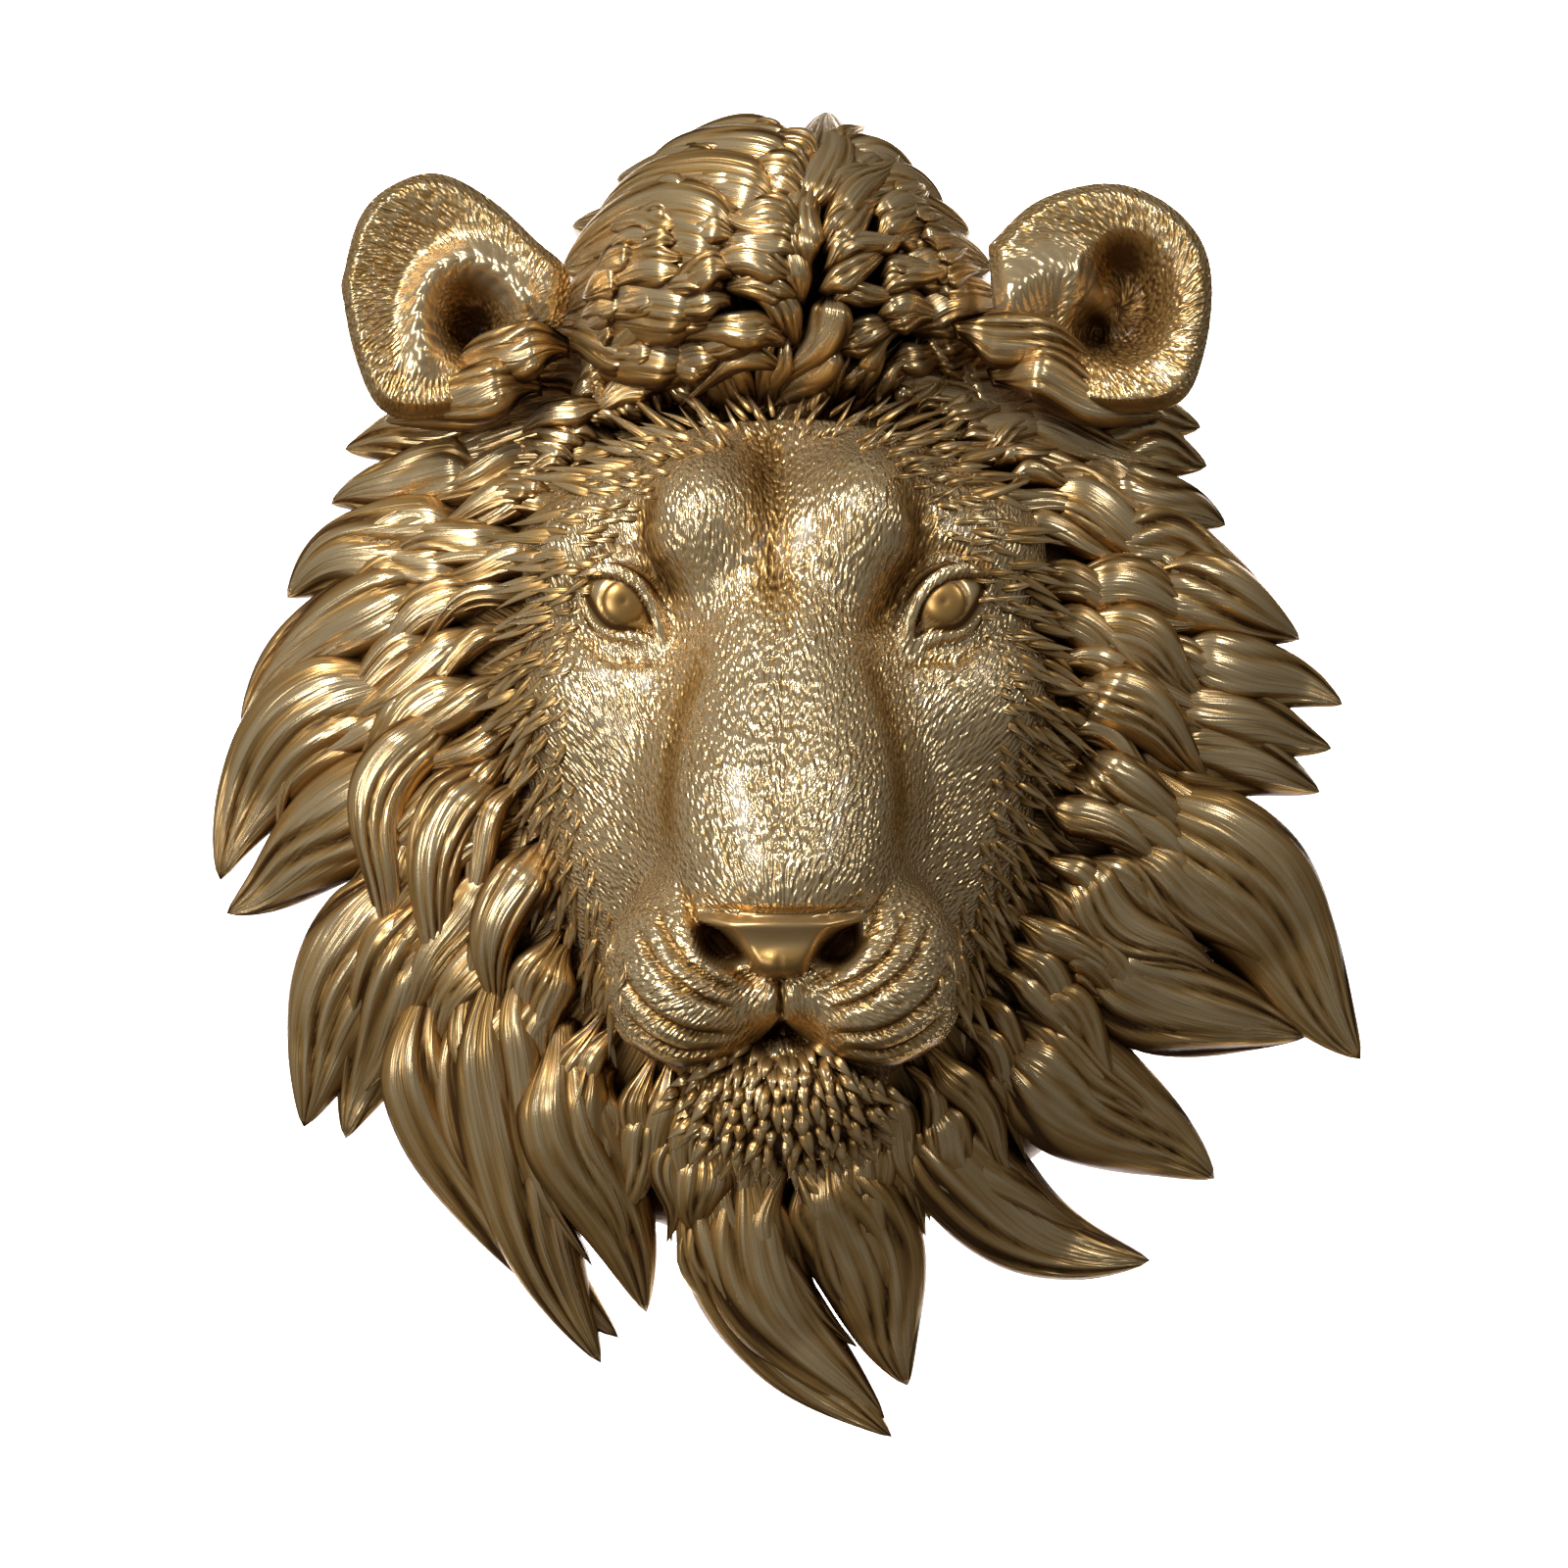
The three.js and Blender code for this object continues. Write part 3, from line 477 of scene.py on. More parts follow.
def lock_line(lock, t):
    """A lock at shares of its length: middle line, sideways direction, half width, height off the
    wall and rise over that, and last the length."""
    root, tip = np.array(lock[0], float), np.array(lock[1], float)
    wide, bow, curl, lift = lock[2:6]
    run = tip - root
    long = np.hypot(*run)
    left = np.array([-run[1], run[0]]) / long
    bends = [root, root + run / 3 + left * bow, root + run * 2 / 3 + left * curl, tip]

    def along(s):
        s = s[:, None]
        return (
            (1 - s) ** 3 * bends[0] + 3 * s * (1 - s) ** 2 * bends[1]
            + 3 * s * s * (1 - s) * bends[2] + s ** 3 * bends[3]
        )

    middle = along(t)
    ahead = along(t + 0.02) - along(t - 0.02)
    ahead /= np.hypot(ahead[:, 0], ahead[:, 1])[:, None]
    across = np.stack([-ahead[:, 1], ahead[:, 0]], 1)
    swell = (0.55 + 0.45 * np.sin(np.minimum(t / 0.5, 1) * np.pi / 2)) * np.maximum(0, 1 - t ** 3) ** 0.8
    thick = LOCK_THICK * wide + LOCK_LEAST
    rise = thick * (0.6 + 0.4 * np.sin(np.pi * t)) * np.maximum(0, 1 - t ** 6)
    height = mane_height(middle[:, 0], middle[:, 1]) + lift * (1 - 0.4 * t)
    return middle, across, wide * swell / 2, height, rise, long


def leaf_skin(name, around, rings):
    """A closed skin whose poles become a lock's root and tip. Three quarters of it are its top."""
    bm = bmesh.new()
    bmesh.ops.create_uvsphere(bm, u_segments=around, v_segments=rings, radius=1)
    bmesh.ops.reverse_faces(bm, faces=bm.faces)
    points = np.array([v.co for v in bm.verts])
    mesh = bpy.data.meshes.new(name)
    bm.to_mesh(mesh)
    bm.free()
    angle = np.arctan2(points[:, 1], points[:, 0]) % (2 * np.pi)
    angle = np.where(angle < 1.5 * np.pi, angle / 1.5, np.pi + (angle - 1.5 * np.pi) * 2)
    share = np.arccos(np.clip(points[:, 2], -1, 1)) / np.pi
    return mesh, angle, share


BROAD_SKIN = leaf_skin("broad_skin", 56, 36)
SLIM_SKIN = leaf_skin("slim_skin", 28, 24)


def drift(share, fewest, most):
    """A wave along a lock that starts anywhere and turns a random number of times."""
    return np.sin(2 * np.pi * (share * rng.uniform(fewest, most) + rng.uniform()))


ROOT_SHARE = 0.28  # how much of a lock is its root, which narrows and dips under the others
GROOVE_DEEPEST = 3.6
FEWEST_RIDGES = 1.6


def leaf(lock, skin, to_wall, spacing, sink=6, slender=0.0, hook=0.0):
    """A lock as a carved leaf: grooves run from its sunk root to its tip, where they meet."""
    _, angle, share = skin
    wide = lock[2]
    ridges = max(FEWEST_RIDGES, wide / spacing)
    middle, across, half, height, rise, long = lock_line(lock, share)
    side = np.cos(angle)
    up = np.sin(angle)
    s = np.sign(side) * np.abs(side) ** 0.85
    rooted = smoothstep(share / ROOT_SHARE)
    half = half * (0.45 + 0.55 * rooted) * (1 - slender * share ** 2)
    middle = middle + across * (hook * rng.uniform(-0.7, 1.0) * long * share ** 3)[:, None]
    wave = (0.02 if to_wall else 0.035) * long * drift(share, 0.8, 1.4)
    middle = middle + across * (wave * rooted * (1 - share ** 4))[:, None]
    sway = 0.85 / ridges * drift(share, 0.7, 1.3)
    phase = 0.5 * np.pi * ridges * (s + sway + 0.15 * s * s * rng.uniform(-1, 1)) + rng.uniform(0, np.pi)
    crest = np.abs(np.cos(phase)) ** 0.8
    uneven = 0.55 + 0.45 * np.sin(phase * 0.55 + 4 * share + rng.uniform(0, 6))
    deep = min(GROOVE_DEEPEST, 0.5 * wide / ridges) * rooted * (1 - share ** 5)
    lean = 1 + rng.uniform(-0.25, 0.25) * s
    top = height + rise * lean * np.abs(up) ** 0.8
    top = top - deep * uneven * (1 - crest) * np.abs(up) ** 0.35
    top = top + 0.05 * wide * rooted * drift(share, 0.9, 1.6) * np.abs(up)
    edge = height - 0.1 * rise
    off_wall = rng.uniform(0.3, 1.8)  # no two backs lie in one plane
    foot = np.maximum(off_wall, edge - 1.5 * np.abs(up) * edge) if to_wall else edge - 8 * np.abs(up)
    h = np.where(up >= 0, top, foot) - sink * (1 - rooted) * np.where(up >= 0, 1, 0.3)
    at_pole = (share < 1e-6) | (share > 1 - 1e-6)
    h = np.where(at_pole, height - np.where(share < 0.5, sink, 1), h)
    h = np.maximum(h, off_wall)
    place = middle + across * (s * half)[:, None]
    # painted shade: dark in the grooves, at the edges where the leaf turns down and at its sunk root, darker
    # towards the bottom of the mane, and dark all over the underside
    painted_shade = 1.2 * (1 - crest) * uneven + 0.55 * np.abs(s) ** 4 + 0.5 * (1 - rooted)
    painted_shade = painted_shade + 0.12 * smoothstep((10 - place[:, 1]) / 110)
    painted_shade = np.where(up >= 0, painted_shade, 0.9)
    uv = np.stack([s * wide / 2 + rng.uniform(0, 500), share * long], 1)
    return np.stack([place[:, 0], h, place[:, 1]], 1), painted_shade, uv


def joined_piece(name, skin, parts):
    """One piece from many copies of a skin, each with its own points, painted shade and lines."""
    bm = bmesh.new()
    for _ in parts:
        bm.from_mesh(skin[0])
    mesh = bpy.data.meshes.new(name)
    bm.to_mesh(mesh)
    bm.free()
    points, painted_shade, uv = [np.concatenate(each) for each in zip(*parts)]
    add_piece(name, mesh, points, hair_gold, painted_shade, 0.0, uv=uv)


def hair_piece(name, locks, skin, to_wall, spacing, **shape):
    """One piece from many locks, with a groove every few millimetres across each."""
    joined_piece(name, skin, [leaf(lock, skin, to_wall, spacing, **shape) for lock in locks])


def over_locks(locks):
    """Narrower leaves that lie on the broad locks and part from them towards the tip."""
    over = []
    for root, tip, wide, bow, curl, lift in locks:
        if wide < OVER_FROM:
            continue
        run = np.array(tip, float) - root
        across = np.array([-run[1], run[0]]) / np.hypot(*run)
        for aside in (-0.24, 0.22):
            start = np.array(root) + run * rng.uniform(0.0, 0.12) + across * wide * aside
            stop = np.array(root) + run * rng.uniform(0.74, 0.88) + across * wide * aside * 0.2
            width = wide * rng.uniform(0.34, 0.46)
            over.append((start, stop, width, bow, curl * 0.8, lift + 0.13 * wide))
    return over


hair_piece("left_rim_locks", RIM_LOCKS[:LEFT_RIM], BROAD_SKIN, True, 6.5, slender=0.25, hook=0.05)
hair_piece("right_rim_locks", RIM_LOCKS[LEFT_RIM:], BROAD_SKIN, True, 6, slender=0.25, hook=0.05)
hair_piece("over_locks", over_locks(RIM_LOCKS), SLIM_SKIN, False, 4.4, slender=0.5)


# The crest over the forehead: its outer locks, which make the outline from ear to ear.
CREST_LOCKS = [
    ((-14, 90), (-54, 95), 24, -6, -3, 2),
    ((-10, 98), (-52, 103), 25, -8, -4, 3),
    ((-6, 108), (-49, 113), 26, -9, -5, 3),
    ((2, 116), (-42, 122), 25, -9, -5, 2),
    ((4, 122), (-33, 130), 24, -8, -5, 2),
    ((-10, 124), (-37, 133), 13, -4, -2, 3),
    ((-16, 112), (-47, 123), 13, -5, -2, 3),
    ((4, 128), (-23, 142), 17, -4, -3, 1),
    ((0, 122), (-13, 145), 17, -4, -3, 1),
    ((2, 120), (-1, 144), 15, -2, -2, 1),
    ((2, 118), (10, 150), 17, -4, -1, 6),
    ((9, 122), (21, 141), 15, 4, 3, 2),
    ((10, 130), (29, 133), 14, 5, 4, 1),
    ((14, 122), (35, 127), 15, 5, 4, 1),
    ((18, 114), (41, 121), 16, 5, 4, 1),
    ((22, 106), (46, 114), 17, 5, 4, 1),
    ((26, 97), (50, 107), 18, 4, 3, 2),
    ((28, 90), (52, 99), 18, 4, 3, 2),
]
hair_piece("crest_locks", CREST_LOCKS, BROAD_SKIN, True, 2.4)


# Locks that stand out in front: low on the crest, over the feet of the ears, the forelock in the
# middle, and the hooks beside the cheeks.
FRONT_LOCKS = [
    ((-26, 94), (-55, 100), 17, 3, -4, 5),
    ((-32, 86), (-61, 92), 17, 2, -5, 5),
    ((-38, 78), (-68, 80), 16, 2, -4, 4),
    ((-46, 94), (-76, 90), 15, -4, 3, 30),
    ((-52, 86), (-88, 80), 16, -4, 3, 27),
    ((36, 97), (72, 91), 15, 4, -3, 28),
    ((44, 88), (84, 81), 15, 4, -3, 26),
    ((28, 94), (54, 98), 16, 3, 4, 5),
    ((36, 84), (60, 90), 16, -2, 4, 4),
    ((10, 106), (-3, 84), 11, 6, 4, 8),
    ((10, 98), (-7, 80), 11, 6, 4, 7),
    ((6, 90), (-5, 73), 10, 4, 3, 6),
    ((-2, 96), (-12, 82), 9, -4, -3, 6),
    ((-66, 22), (-85, -43), 17, -18, -13, 7),
    ((-56, 8), (-76, -48), 16, -14, -10, 7),
    ((-48, -10), (-62, -52), 15, -9, -6, 7),
    ((56, -14), (100, -44), 18, -4, -6, 4),
    ((62, 10), (92, -17), 14, -3, 3, 5),
    ((60, 24), (94, 0), 18, 2, 3, 6),
]
hair_piece("front_locks", FRONT_LOCKS, BROAD_SKIN, False, 3.4, sink=14, slender=0.4)


# Locks in rows, the nearest to the face lying over the others. Each row's roots follow a line of
# x, z points, and its flow turns evenly through the clock directions that are given for it.
FACE_MIDDLE = (0, 10)
FACE_HALF = (53, 74)
MANE_MIDDLE = (0, 6)  # the tips of these locks stay inside this round
MANE_HALF = (102, 113)
CREST_MIDDLE = (0, 92)  # and inside this one where the roots are high up
CREST_HALF = (46, 52)
CREST_FROM = 83
SHORTEST_LOCK = 10


def face_edge(start, stop, out):
    """Points along the face's edge, or further out, between two clock directions."""
    clocks = np.radians(np.linspace(start, stop, 9))
    return [
        (FACE_MIDDLE[0] + out * FACE_HALF[0] * math.sin(c), FACE_MIDDLE[1] + out * FACE_HALF[1] * math.cos(c))
        for c in clocks
    ]


def row_locks(roots, flows, count, long, wide, lift, bend=0.19):
    """A row of locks side by side, each a little uneven in place, size, direction and bend."""
    roots = np.array(roots, float)
    spots = np.linspace(0, 1, len(roots))
    locks = []
    for i in range(count):
        t = (i + rng.uniform(-0.3, 0.3)) / (count - 1)
        root = np.array([np.interp(t, spots, roots[:, 0]), np.interp(t, spots, roots[:, 1])])
        flow = np.radians(np.interp(t, np.linspace(0, 1, len(flows)), flows) + rng.uniform(-9, 9))
        reach = long * rng.uniform(0.78, 1.2)
        root = root + rng.uniform(-1.5, 1.5, 2)
        ahead = np.array([math.sin(flow), math.cos(flow)])
        middle, half = (CREST_MIDDLE, CREST_HALF) if root[1] > CREST_FROM else (MANE_MIDDLE, MANE_HALF)
        while np.hypot(*((root + reach * ahead - np.array(middle)) / half)) > 1 and reach > SHORTEST_LOCK:
            reach *= 0.94
        tip = root + reach * ahead
        sign = math.copysign(1, np.sin(flow))
        width = wide * rng.uniform(0.75, 1.25)
        bow = sign * reach * bend * rng.uniform(0.4, 1.4)
        curl = sign * reach * bend * rng.uniform(-0.9, 0.6)
        locks.append((root, tip, width, bow, curl, lift + rng.uniform(-0.8, 0.8)))
    return locks


LEFT_ROOTS = [(-52, 82), (-66, 60), (-74, 28), (-74, -6), (-62, -38), (-42, -60), (-18, -72)]
RIGHT_ROOTS = [(50, 82), (64, 60), (74, 30), (73, -2), (62, -32), (44, -54), (24, -70), (6, -74)]
ROW_PIECES = [
    # name, spacing of the grooves, shape of the locks, and rows: roots, flows, count, length, width, lift
    ("fringe_locks", 3.4, {"slender": 0.75, "hook": 0.14}, [
        (LEFT_ROOTS, [-90, -104, -132, -160, -166, -172, -188], 17, 50, 16, 0),
        (RIGHT_ROOTS, [92, 102, 110, 122, 130, 138, 152, 166], 17, 50, 16, 0),
        (face_edge(-26, -168, 1.2), [-86, -112, -160, -176], 18, 54, 14, 3),
        (face_edge(24, 168, 1.2), [88, 108, 130, 162], 18, 54, 14, 3),
    ]),
    ("inner_locks", 2.6, {"slender": 0.75, "hook": 0.16}, [
        (face_edge(-24, -165, 1.06), [-84, -110, -158, -176], 26, 42, 9.5, 4),
        (face_edge(22, 165, 1.06), [84, 104, 130, 166], 26, 42, 9.5, 4),
    ]),
    ("top_locks", 2.6, {"sink": 3, "slender": 0.7, "hook": 0.3}, [
        ([(2, 138), (-14, 130), (-30, 112)], [-70, -80, -94], 12, 20, 8, 12),
        ([(10, 138), (22, 126), (34, 108)], [36, 58, 80], 11, 17, 7, 7),
        ([(9, 120), (3, 92)], [34, -34], 6, 22, 9, 7),
        ([(-34, 106), (-40, 82)], [-92, -106], 8, 20, 9, 10),
        ([(-20, 118), (-26, 84)], [-84, -102], 10, 22, 9, 11),
        ([(-6, 128), (-14, 88)], [-78, -98], 11, 22, 9, 10),
        ([(6, 132), (0, 88)], [-62, -92], 12, 22, 9, 9),
        ([(30, 108), (36, 84)], [70, 92], 7, 18, 9, 6),
        ([(18, 120), (22, 86)], [56, 84], 9, 20, 8.5, 7),
        ([(8, 130), (10, 90)], [36, 70], 11, 20, 8, 8),
        ([(-52, 62), (-40, 75), (-22, 82), (-6, 80)], [-86, -70, -52, -30], 25, 17, 5.5, 7),
        ([(-4, 80), (16, 84), (34, 78), (50, 64)], [14, 36, 58, 84], 27, 17, 5.5, 7),
    ]),
]
for name, spacing, shape, rows in ROW_PIECES:
    locks = [lock for row in rows for lock in row_locks(*row)]
    hair_piece(name, locks, SLIM_SKIN, False, spacing, **shape)


# The face: rounded forms that run into each other, as in the solid, with lids, nose, lips and
# creases at full detail. It is one skin, whose rim is drawn in under the mane.
FACE_FORMS = [
    # middle and half sizes of a ball, or the ends and radii of a bar; how softly it joins
    ("ball", (0, 20, 36), (57, 48, 54), 1),
    ("ball", (31, 26, 4), (26, 38, 46), 16),
    ("ball", (0, 36, -36), (37, 38, 34), 18),
    ("ball", (14, 50, -6), (20, 34, 34), 14),
    ("bar", ((0, 62, 46), (5, 86, -4)), (13, 17.5), 14),
    ("ball", (0, 88, -18.5), (21, 23.5, 16), 9),
    ("ball", (18.5, 80, -39), (18.5, 26, 20.5), 6),
    ("ball", (0, 84, -41), (10, 19, 10), 6),
    ("ball", (-0.5, 74, -62), (22, 22.5, 16), 3),
    ("ball", (16.5, 56.5, 54), (14, 23.5, 17), 9),
    ("ball", (36, 41, 50), (19, 20, 15), 12),
    ("ball", (37, 44, 18), (18, 22, 15), 12),
]
EYE_SOCKET = ((33.5, 77, 37), (11, 11.5, 9.5), 6)
EYE_MIDDLE = np.array([33.6, 61, 38])
EYE_RADIUS = 8.7
PUPIL_OUT = -0.3
IRIS_RADIUS = 4.8
UPPER_LID = [
    # from the eye's middle outward, the height off the wall, and up
    (-7.6, 66.1, -11.2), (-7.9, 67.4, -6.0), (-5.2, 68.4, 1.4), (-0.6, 68.6, 5.4), (4.6, 67.2, 6.6),
    (10.6, 61.8, 6.2),
]
LOWER_LID = [
    (-7.4, 66.1, -11.6), (-5.5, 65.6, -8.9), (-2, 65.6, -7.4), (3.4, 65.0, -6.2), (7.4, 63.8, -1.6),
    (10.6, 61.8, 5.4),
]
LID_THICK = 0.95
LID_BLEND = 1.6
LID_REACH = 26  # the lids change nothing further than this from the eye
FACE_COLUMNS, FACE_ROWS = 230, 370
SIGHT_FROM = np.array([0, -20, -4])  # the face is drawn along rays that fan out from this point
RAY_FROM, RAY_TO = 146, 24  # each ray is followed inward from the first distance to the last
RAY_STEPS = 110
FAN_ACROSS = (0.60, 0.32)  # how wide the rays fan out, evenly and by their ninth power
FAN_UP = (0.86, 0.30)
DRAWN_POINT = (0, 9, 0)  # the rim of the face is drawn in to here


def curve_through(points, steps=4):
    """A smooth line through points, as a list of more closely spaced ones."""
    points = np.array(points, float)
    padded = np.vstack([2 * points[0] - points[1], points, 2 * points[-1] - points[-2]])
    line = []
    for a, b, c, d in zip(padded, padded[1:], padded[2:], padded[3:]):
        for t in np.arange(steps) / steps:
            even = 2 * b + (c - a) * t
            bent = (2 * a - 5 * b + 4 * c - d) * t ** 2
            turned = (3 * b - a - 3 * c + d) * t ** 3
            line.append(0.5 * (even + bent + turned))
    line.append(points[-1])
    return np.array(line)


def ball_distance(p, middle, half):
    q = (p - middle) / half
    near = np.linalg.norm(q, axis=1)
    steep = np.linalg.norm(q / half, axis=1)
    return near * (near - 1) / np.maximum(steep, 1e-9)


def bar_distance(p, ends, radii):
    a, b = np.array(ends[0], float), np.array(ends[1], float)
    t = np.clip((p - a) @ (b - a) / ((b - a) @ (b - a)), 0, 1)
    return np.linalg.norm(p - a - t[:, None] * (b - a), axis=1) - (radii[0] + (radii[1] - radii[0]) * t)


def meld(a, b, blend):
    """The nearer of two distances, rounded where they meet."""
    overlap = np.maximum(blend - np.abs(a - b), 0) / blend
    return np.minimum(a, b) - overlap ** 2 * blend / 4


lid_bars = []
for lid in (UPPER_LID, LOWER_LID):
    line = curve_through([(EYE_MIDDLE[0] + out, h, EYE_MIDDLE[2] + up) for out, h, up in lid])
    shares = np.linspace(0, 1, len(line))
    thick = LID_THICK * (0.35 + 0.65 * np.sin(np.pi * shares) ** 0.5)
    lid_bars.extend(zip(line, line[1:], thick, thick[1:]))


def face_distance(points):
    """How far points are outside the face, whose two halves are alike."""
    p = points.copy()
    p[:, 0] = np.abs(p[:, 0])
    d = np.full(len(p), 1e3)
    for kind, one, two, blend in FACE_FORMS:
        if kind == "ball":
            d = meld(d, ball_distance(p, one, two), blend)
        else:
            d = meld(d, bar_distance(p, one, two), blend)
    socket, half, blend = EYE_SOCKET
    d = -meld(-d, ball_distance(p, socket, half), blend)
    near = np.abs(p - EYE_MIDDLE).max(axis=1) < LID_REACH
    close = p[near]
    lidded = d[near]
    for start, end, r0, r1 in lid_bars:
        lidded = meld(lidded, bar_distance(close, (start, end), (r0, r1)), LID_BLEND)
    d[near] = np.minimum(lidded, np.linalg.norm(close - EYE_MIDDLE, axis=1) - EYE_RADIUS)
    return d


def doubled(way):
    """The fur's direction at twice its angle, as forward and backward are the same to a stroke."""
    return np.stack([np.cos(2 * way), np.sin(2 * way), np.zeros(len(way))], 1)


def line_distance(x, z, line):
    """How far each x, z lies from a line, and the share of the line's length where it is nearest."""
    best = np.full(len(x), 1e3)
    share = np.zeros(len(x))
    steps = np.hypot(*(line[1:] - line[:-1]).T)
    total = steps.sum()
    run = 0.0
    for (ax, az), (bx, bz), step in zip(line, line[1:], steps):
        t = np.clip(((x - ax) * (bx - ax) + (z - az) * (bz - az)) / step ** 2, 0, 1)
        away = np.hypot(x - ax - t * (bx - ax), z - az - t * (bz - az))
        nearer = away < best
        best = np.where(nearer, away, best)
        share = np.where(nearer, (run + t * step) / total, share)
        run += step
    return best, share


# The nose's bare end: half its outline as x, z from its top edge's end to its foot, and the rounded
# bumps on it. The nostrils lie beside it, and the mouth is a small gap under it.
NOSE_PLATE = [
    (18.2, -25.2), (15.6, -27.8), (11, -29.6), (8.6, -31.6), (6.8, -34.6), (5.6, -37.2), (2.6, -38.6),
]
NOSE_ASIDE = -0.8
NOSE_FRONT = 109.8
NOSE_LEAN = 0.22
PLATE_BUMPS = [
    # height, z of the middle, half height and half width
    (0.9, -27.6, 1.3, math.inf),
    (-1.3, -31.4, 2.2, 8),
    (0.8, -35, 2.2, 3),
]
NOSTRIL = {"out": 12.4, "up": -32.2, "half": (6.4, 3.3), "bow": 0.05, "lean": 46, "deep": 9}
MOUTH = {"aside": -0.5, "top": -47.4, "base": -51.4, "half": 3.4, "deep": 5}

# Creases that are pressed into the face.
CREASES = [
    # line in x and z, how wide and how deep it is, and whether both sides have it
    ([(-4, 78), (-3.6, 62), (-2.8, 48), (-1, 34)], 4.2, 1.8, False),
    ([(25, 62), (28.5, 55), (27.5, 47), (22, 39), (17.5, 32)], 2.8, 3.2, False),
    ([(-28, 61), (-29.5, 53), (-27, 46), (-22, 38)], 2.4, 2.0, False),
    ([(17, 27), (21.5, 14), (24, -1), (23, -14)], 2.2, 1.5, True),
    ([(-0.8, -38), (-0.7, -43), (-0.6, -48)], 0.9, 2.6, False),
    ([(0, -48.5), (4.5, -53), (12.5, -57), (22, -58.5), (31, -54)], 1.1, 3.6, True),
    ([(21, -20), (19, -24), (17.5, -29), (12, -35.5), (4, -41)], 1.0, 1.8, True),
    ([(25.4, -25.5), (21.5, -33), (15, -38.8), (8, -41.8)], 0.9, 1.7, True),
    ([(45.5, 41.5), (38, 48.5), (31, 48.5), (25, 43), (22.4, 32)], 1.0, 0.9, True),
    ([(43.5, 32.5), (37.5, 26), (31, 25.6), (25, 24.6)], 1.0, 0.9, True),
    ([(29, -29), (26.5, -34), (22.5, -38.5), (16, -43), (10, -45)], 0.9, 1.8, True),
    ([(33, -37), (30, -42), (25, -46.5), (18, -49.6), (10.5, -50)], 0.9, 1.8, True),
    ([(32, -46), (27.5, -50.5), (20, -53.7), (13, -53)], 0.9, 1.5, True),
]

bm = bmesh.new()
bmesh.ops.create_grid(bm, x_segments=FACE_COLUMNS, y_segments=FACE_ROWS, size=1)
sheet = np.array([v.co for v in bm.verts])
boundary = [e for e in bm.edges if e.is_boundary]
drawn_in = bmesh.ops.extrude_edge_only(bm, edges=boundary)
inner = [v for v in drawn_in["geom"] if isinstance(v, bmesh.types.BMVert)]
bmesh.ops.pointmerge(bm, verts=inner, merge_co=(0, 0, 9))
face_mesh = bpy.data.meshes.new("face")
bm.to_mesh(face_mesh)
bm.free()

u, v = sheet[:, 0], sheet[:, 1]
aside = FAN_ACROSS[0] * u + FAN_ACROSS[1] * u ** 9
upward = FAN_UP[0] * v + FAN_UP[1] * v ** 9
rays = np.stack([aside, np.ones(len(u)), upward], 1)
lengths = np.linalg.norm(rays, axis=1)
rays /= lengths[:, None]
reach = RAY_FROM * lengths
todo = np.arange(len(reach))
for step in range(RAY_STEPS):
    d = face_distance(SIGHT_FROM + rays[todo] * reach[todo, None])
    reach[todo] -= d * 0.7
    todo = todo[(d > 0.01) & (reach[todo] > RAY_TO)]
    if len(todo) == 0:
        break
skin = SIGHT_FROM + rays * reach[:, None]
x, h, z = skin.T
painted_shade = np.zeros(len(x))
for points, wide, deep, paired in CREASES:
    line = curve_through(points)
    away, share = line_distance(np.abs(x) if paired else x, z, line)
    dip = np.exp(-((away / wide) ** 2)) * np.clip(np.sin(np.pi * (0.06 + 0.88 * share)) * 1.6, 0, 1)
    skin -= rays * (deep * dip)[:, None]
    # painted shade along each crease
    painted_shade = np.maximum(painted_shade, 0.8 * dip * min(1, deep / 2))

# the iris round a dimple on each eyeball, and the lids, which have less fur
seen = np.stack([np.abs(x), h, z], 1) - EYE_MIDDLE
on_eye = np.linalg.norm(seen, axis=1) < EYE_RADIUS + 0.06
from_pupil = np.hypot(seen[:, 0] - PUPIL_OUT, seen[:, 2])
dimple = 0.45 * np.exp(-((from_pupil / 1.0) ** 2))
iris = dimple + 0.4 * np.exp(-(((from_pupil - IRIS_RADIUS + 0.2) / 0.55) ** 2))
skin -= rays * (iris * on_eye)[:, None]
# painted shade in the dimple, in the iris's ring and over the iris
painted_shade = np.maximum(painted_shade, (0.9 * iris + 0.45 * (from_pupil < IRIS_RADIUS)) * on_eye)
bare = np.where(on_eye, 1.0, 0.0)
for lid in (UPPER_LID, LOWER_LID):
    line = curve_through([(EYE_MIDDLE[0] + out, EYE_MIDDLE[2] + up) for out, _, up in lid])
    away, _ = line_distance(np.abs(x), z, line)
    bare = np.maximum(bare, 0.45 * (1 - smoothstep((away - 0.6) / 0.6)) * (h > 50))
    # painted shade in the gap between each eyeball and its lids
    painted_shade = np.maximum(painted_shade, 1.3 * np.exp(-(((away - 1.4) / 0.9) ** 2)) * on_eye)

# the nose's bare end, with its edge rolled over and a groove round it
x, h, z = skin.T
frontal = h > 70
across = x - NOSE_ASIDE
plate_line = np.array(NOSE_PLATE + [(-a, b) for a, b in NOSE_PLATE[::-1]] + NOSE_PLATE[:1], float)
edge_away, _ = line_distance(across, z, plate_line)
inside = np.zeros(len(x), bool)
for (ax, az), (bx, bz) in zip(plate_line, plate_line[1:]):
    crosses = (az > z) != (bz > z)
    with np.errstate(divide="ignore", invalid="ignore"):
        inside ^= crosses & (across < (bx - ax) * (z - az) / (bz - az) + ax)
inside &= frontal
depth_in = np.where(inside, edge_away, -edge_away)
plate_height = NOSE_FRONT - NOSE_LEAN * (-26 - z) - 0.018 * across ** 2
plate_height -= 2.4 * (1 - smoothstep(depth_in / 2.6))
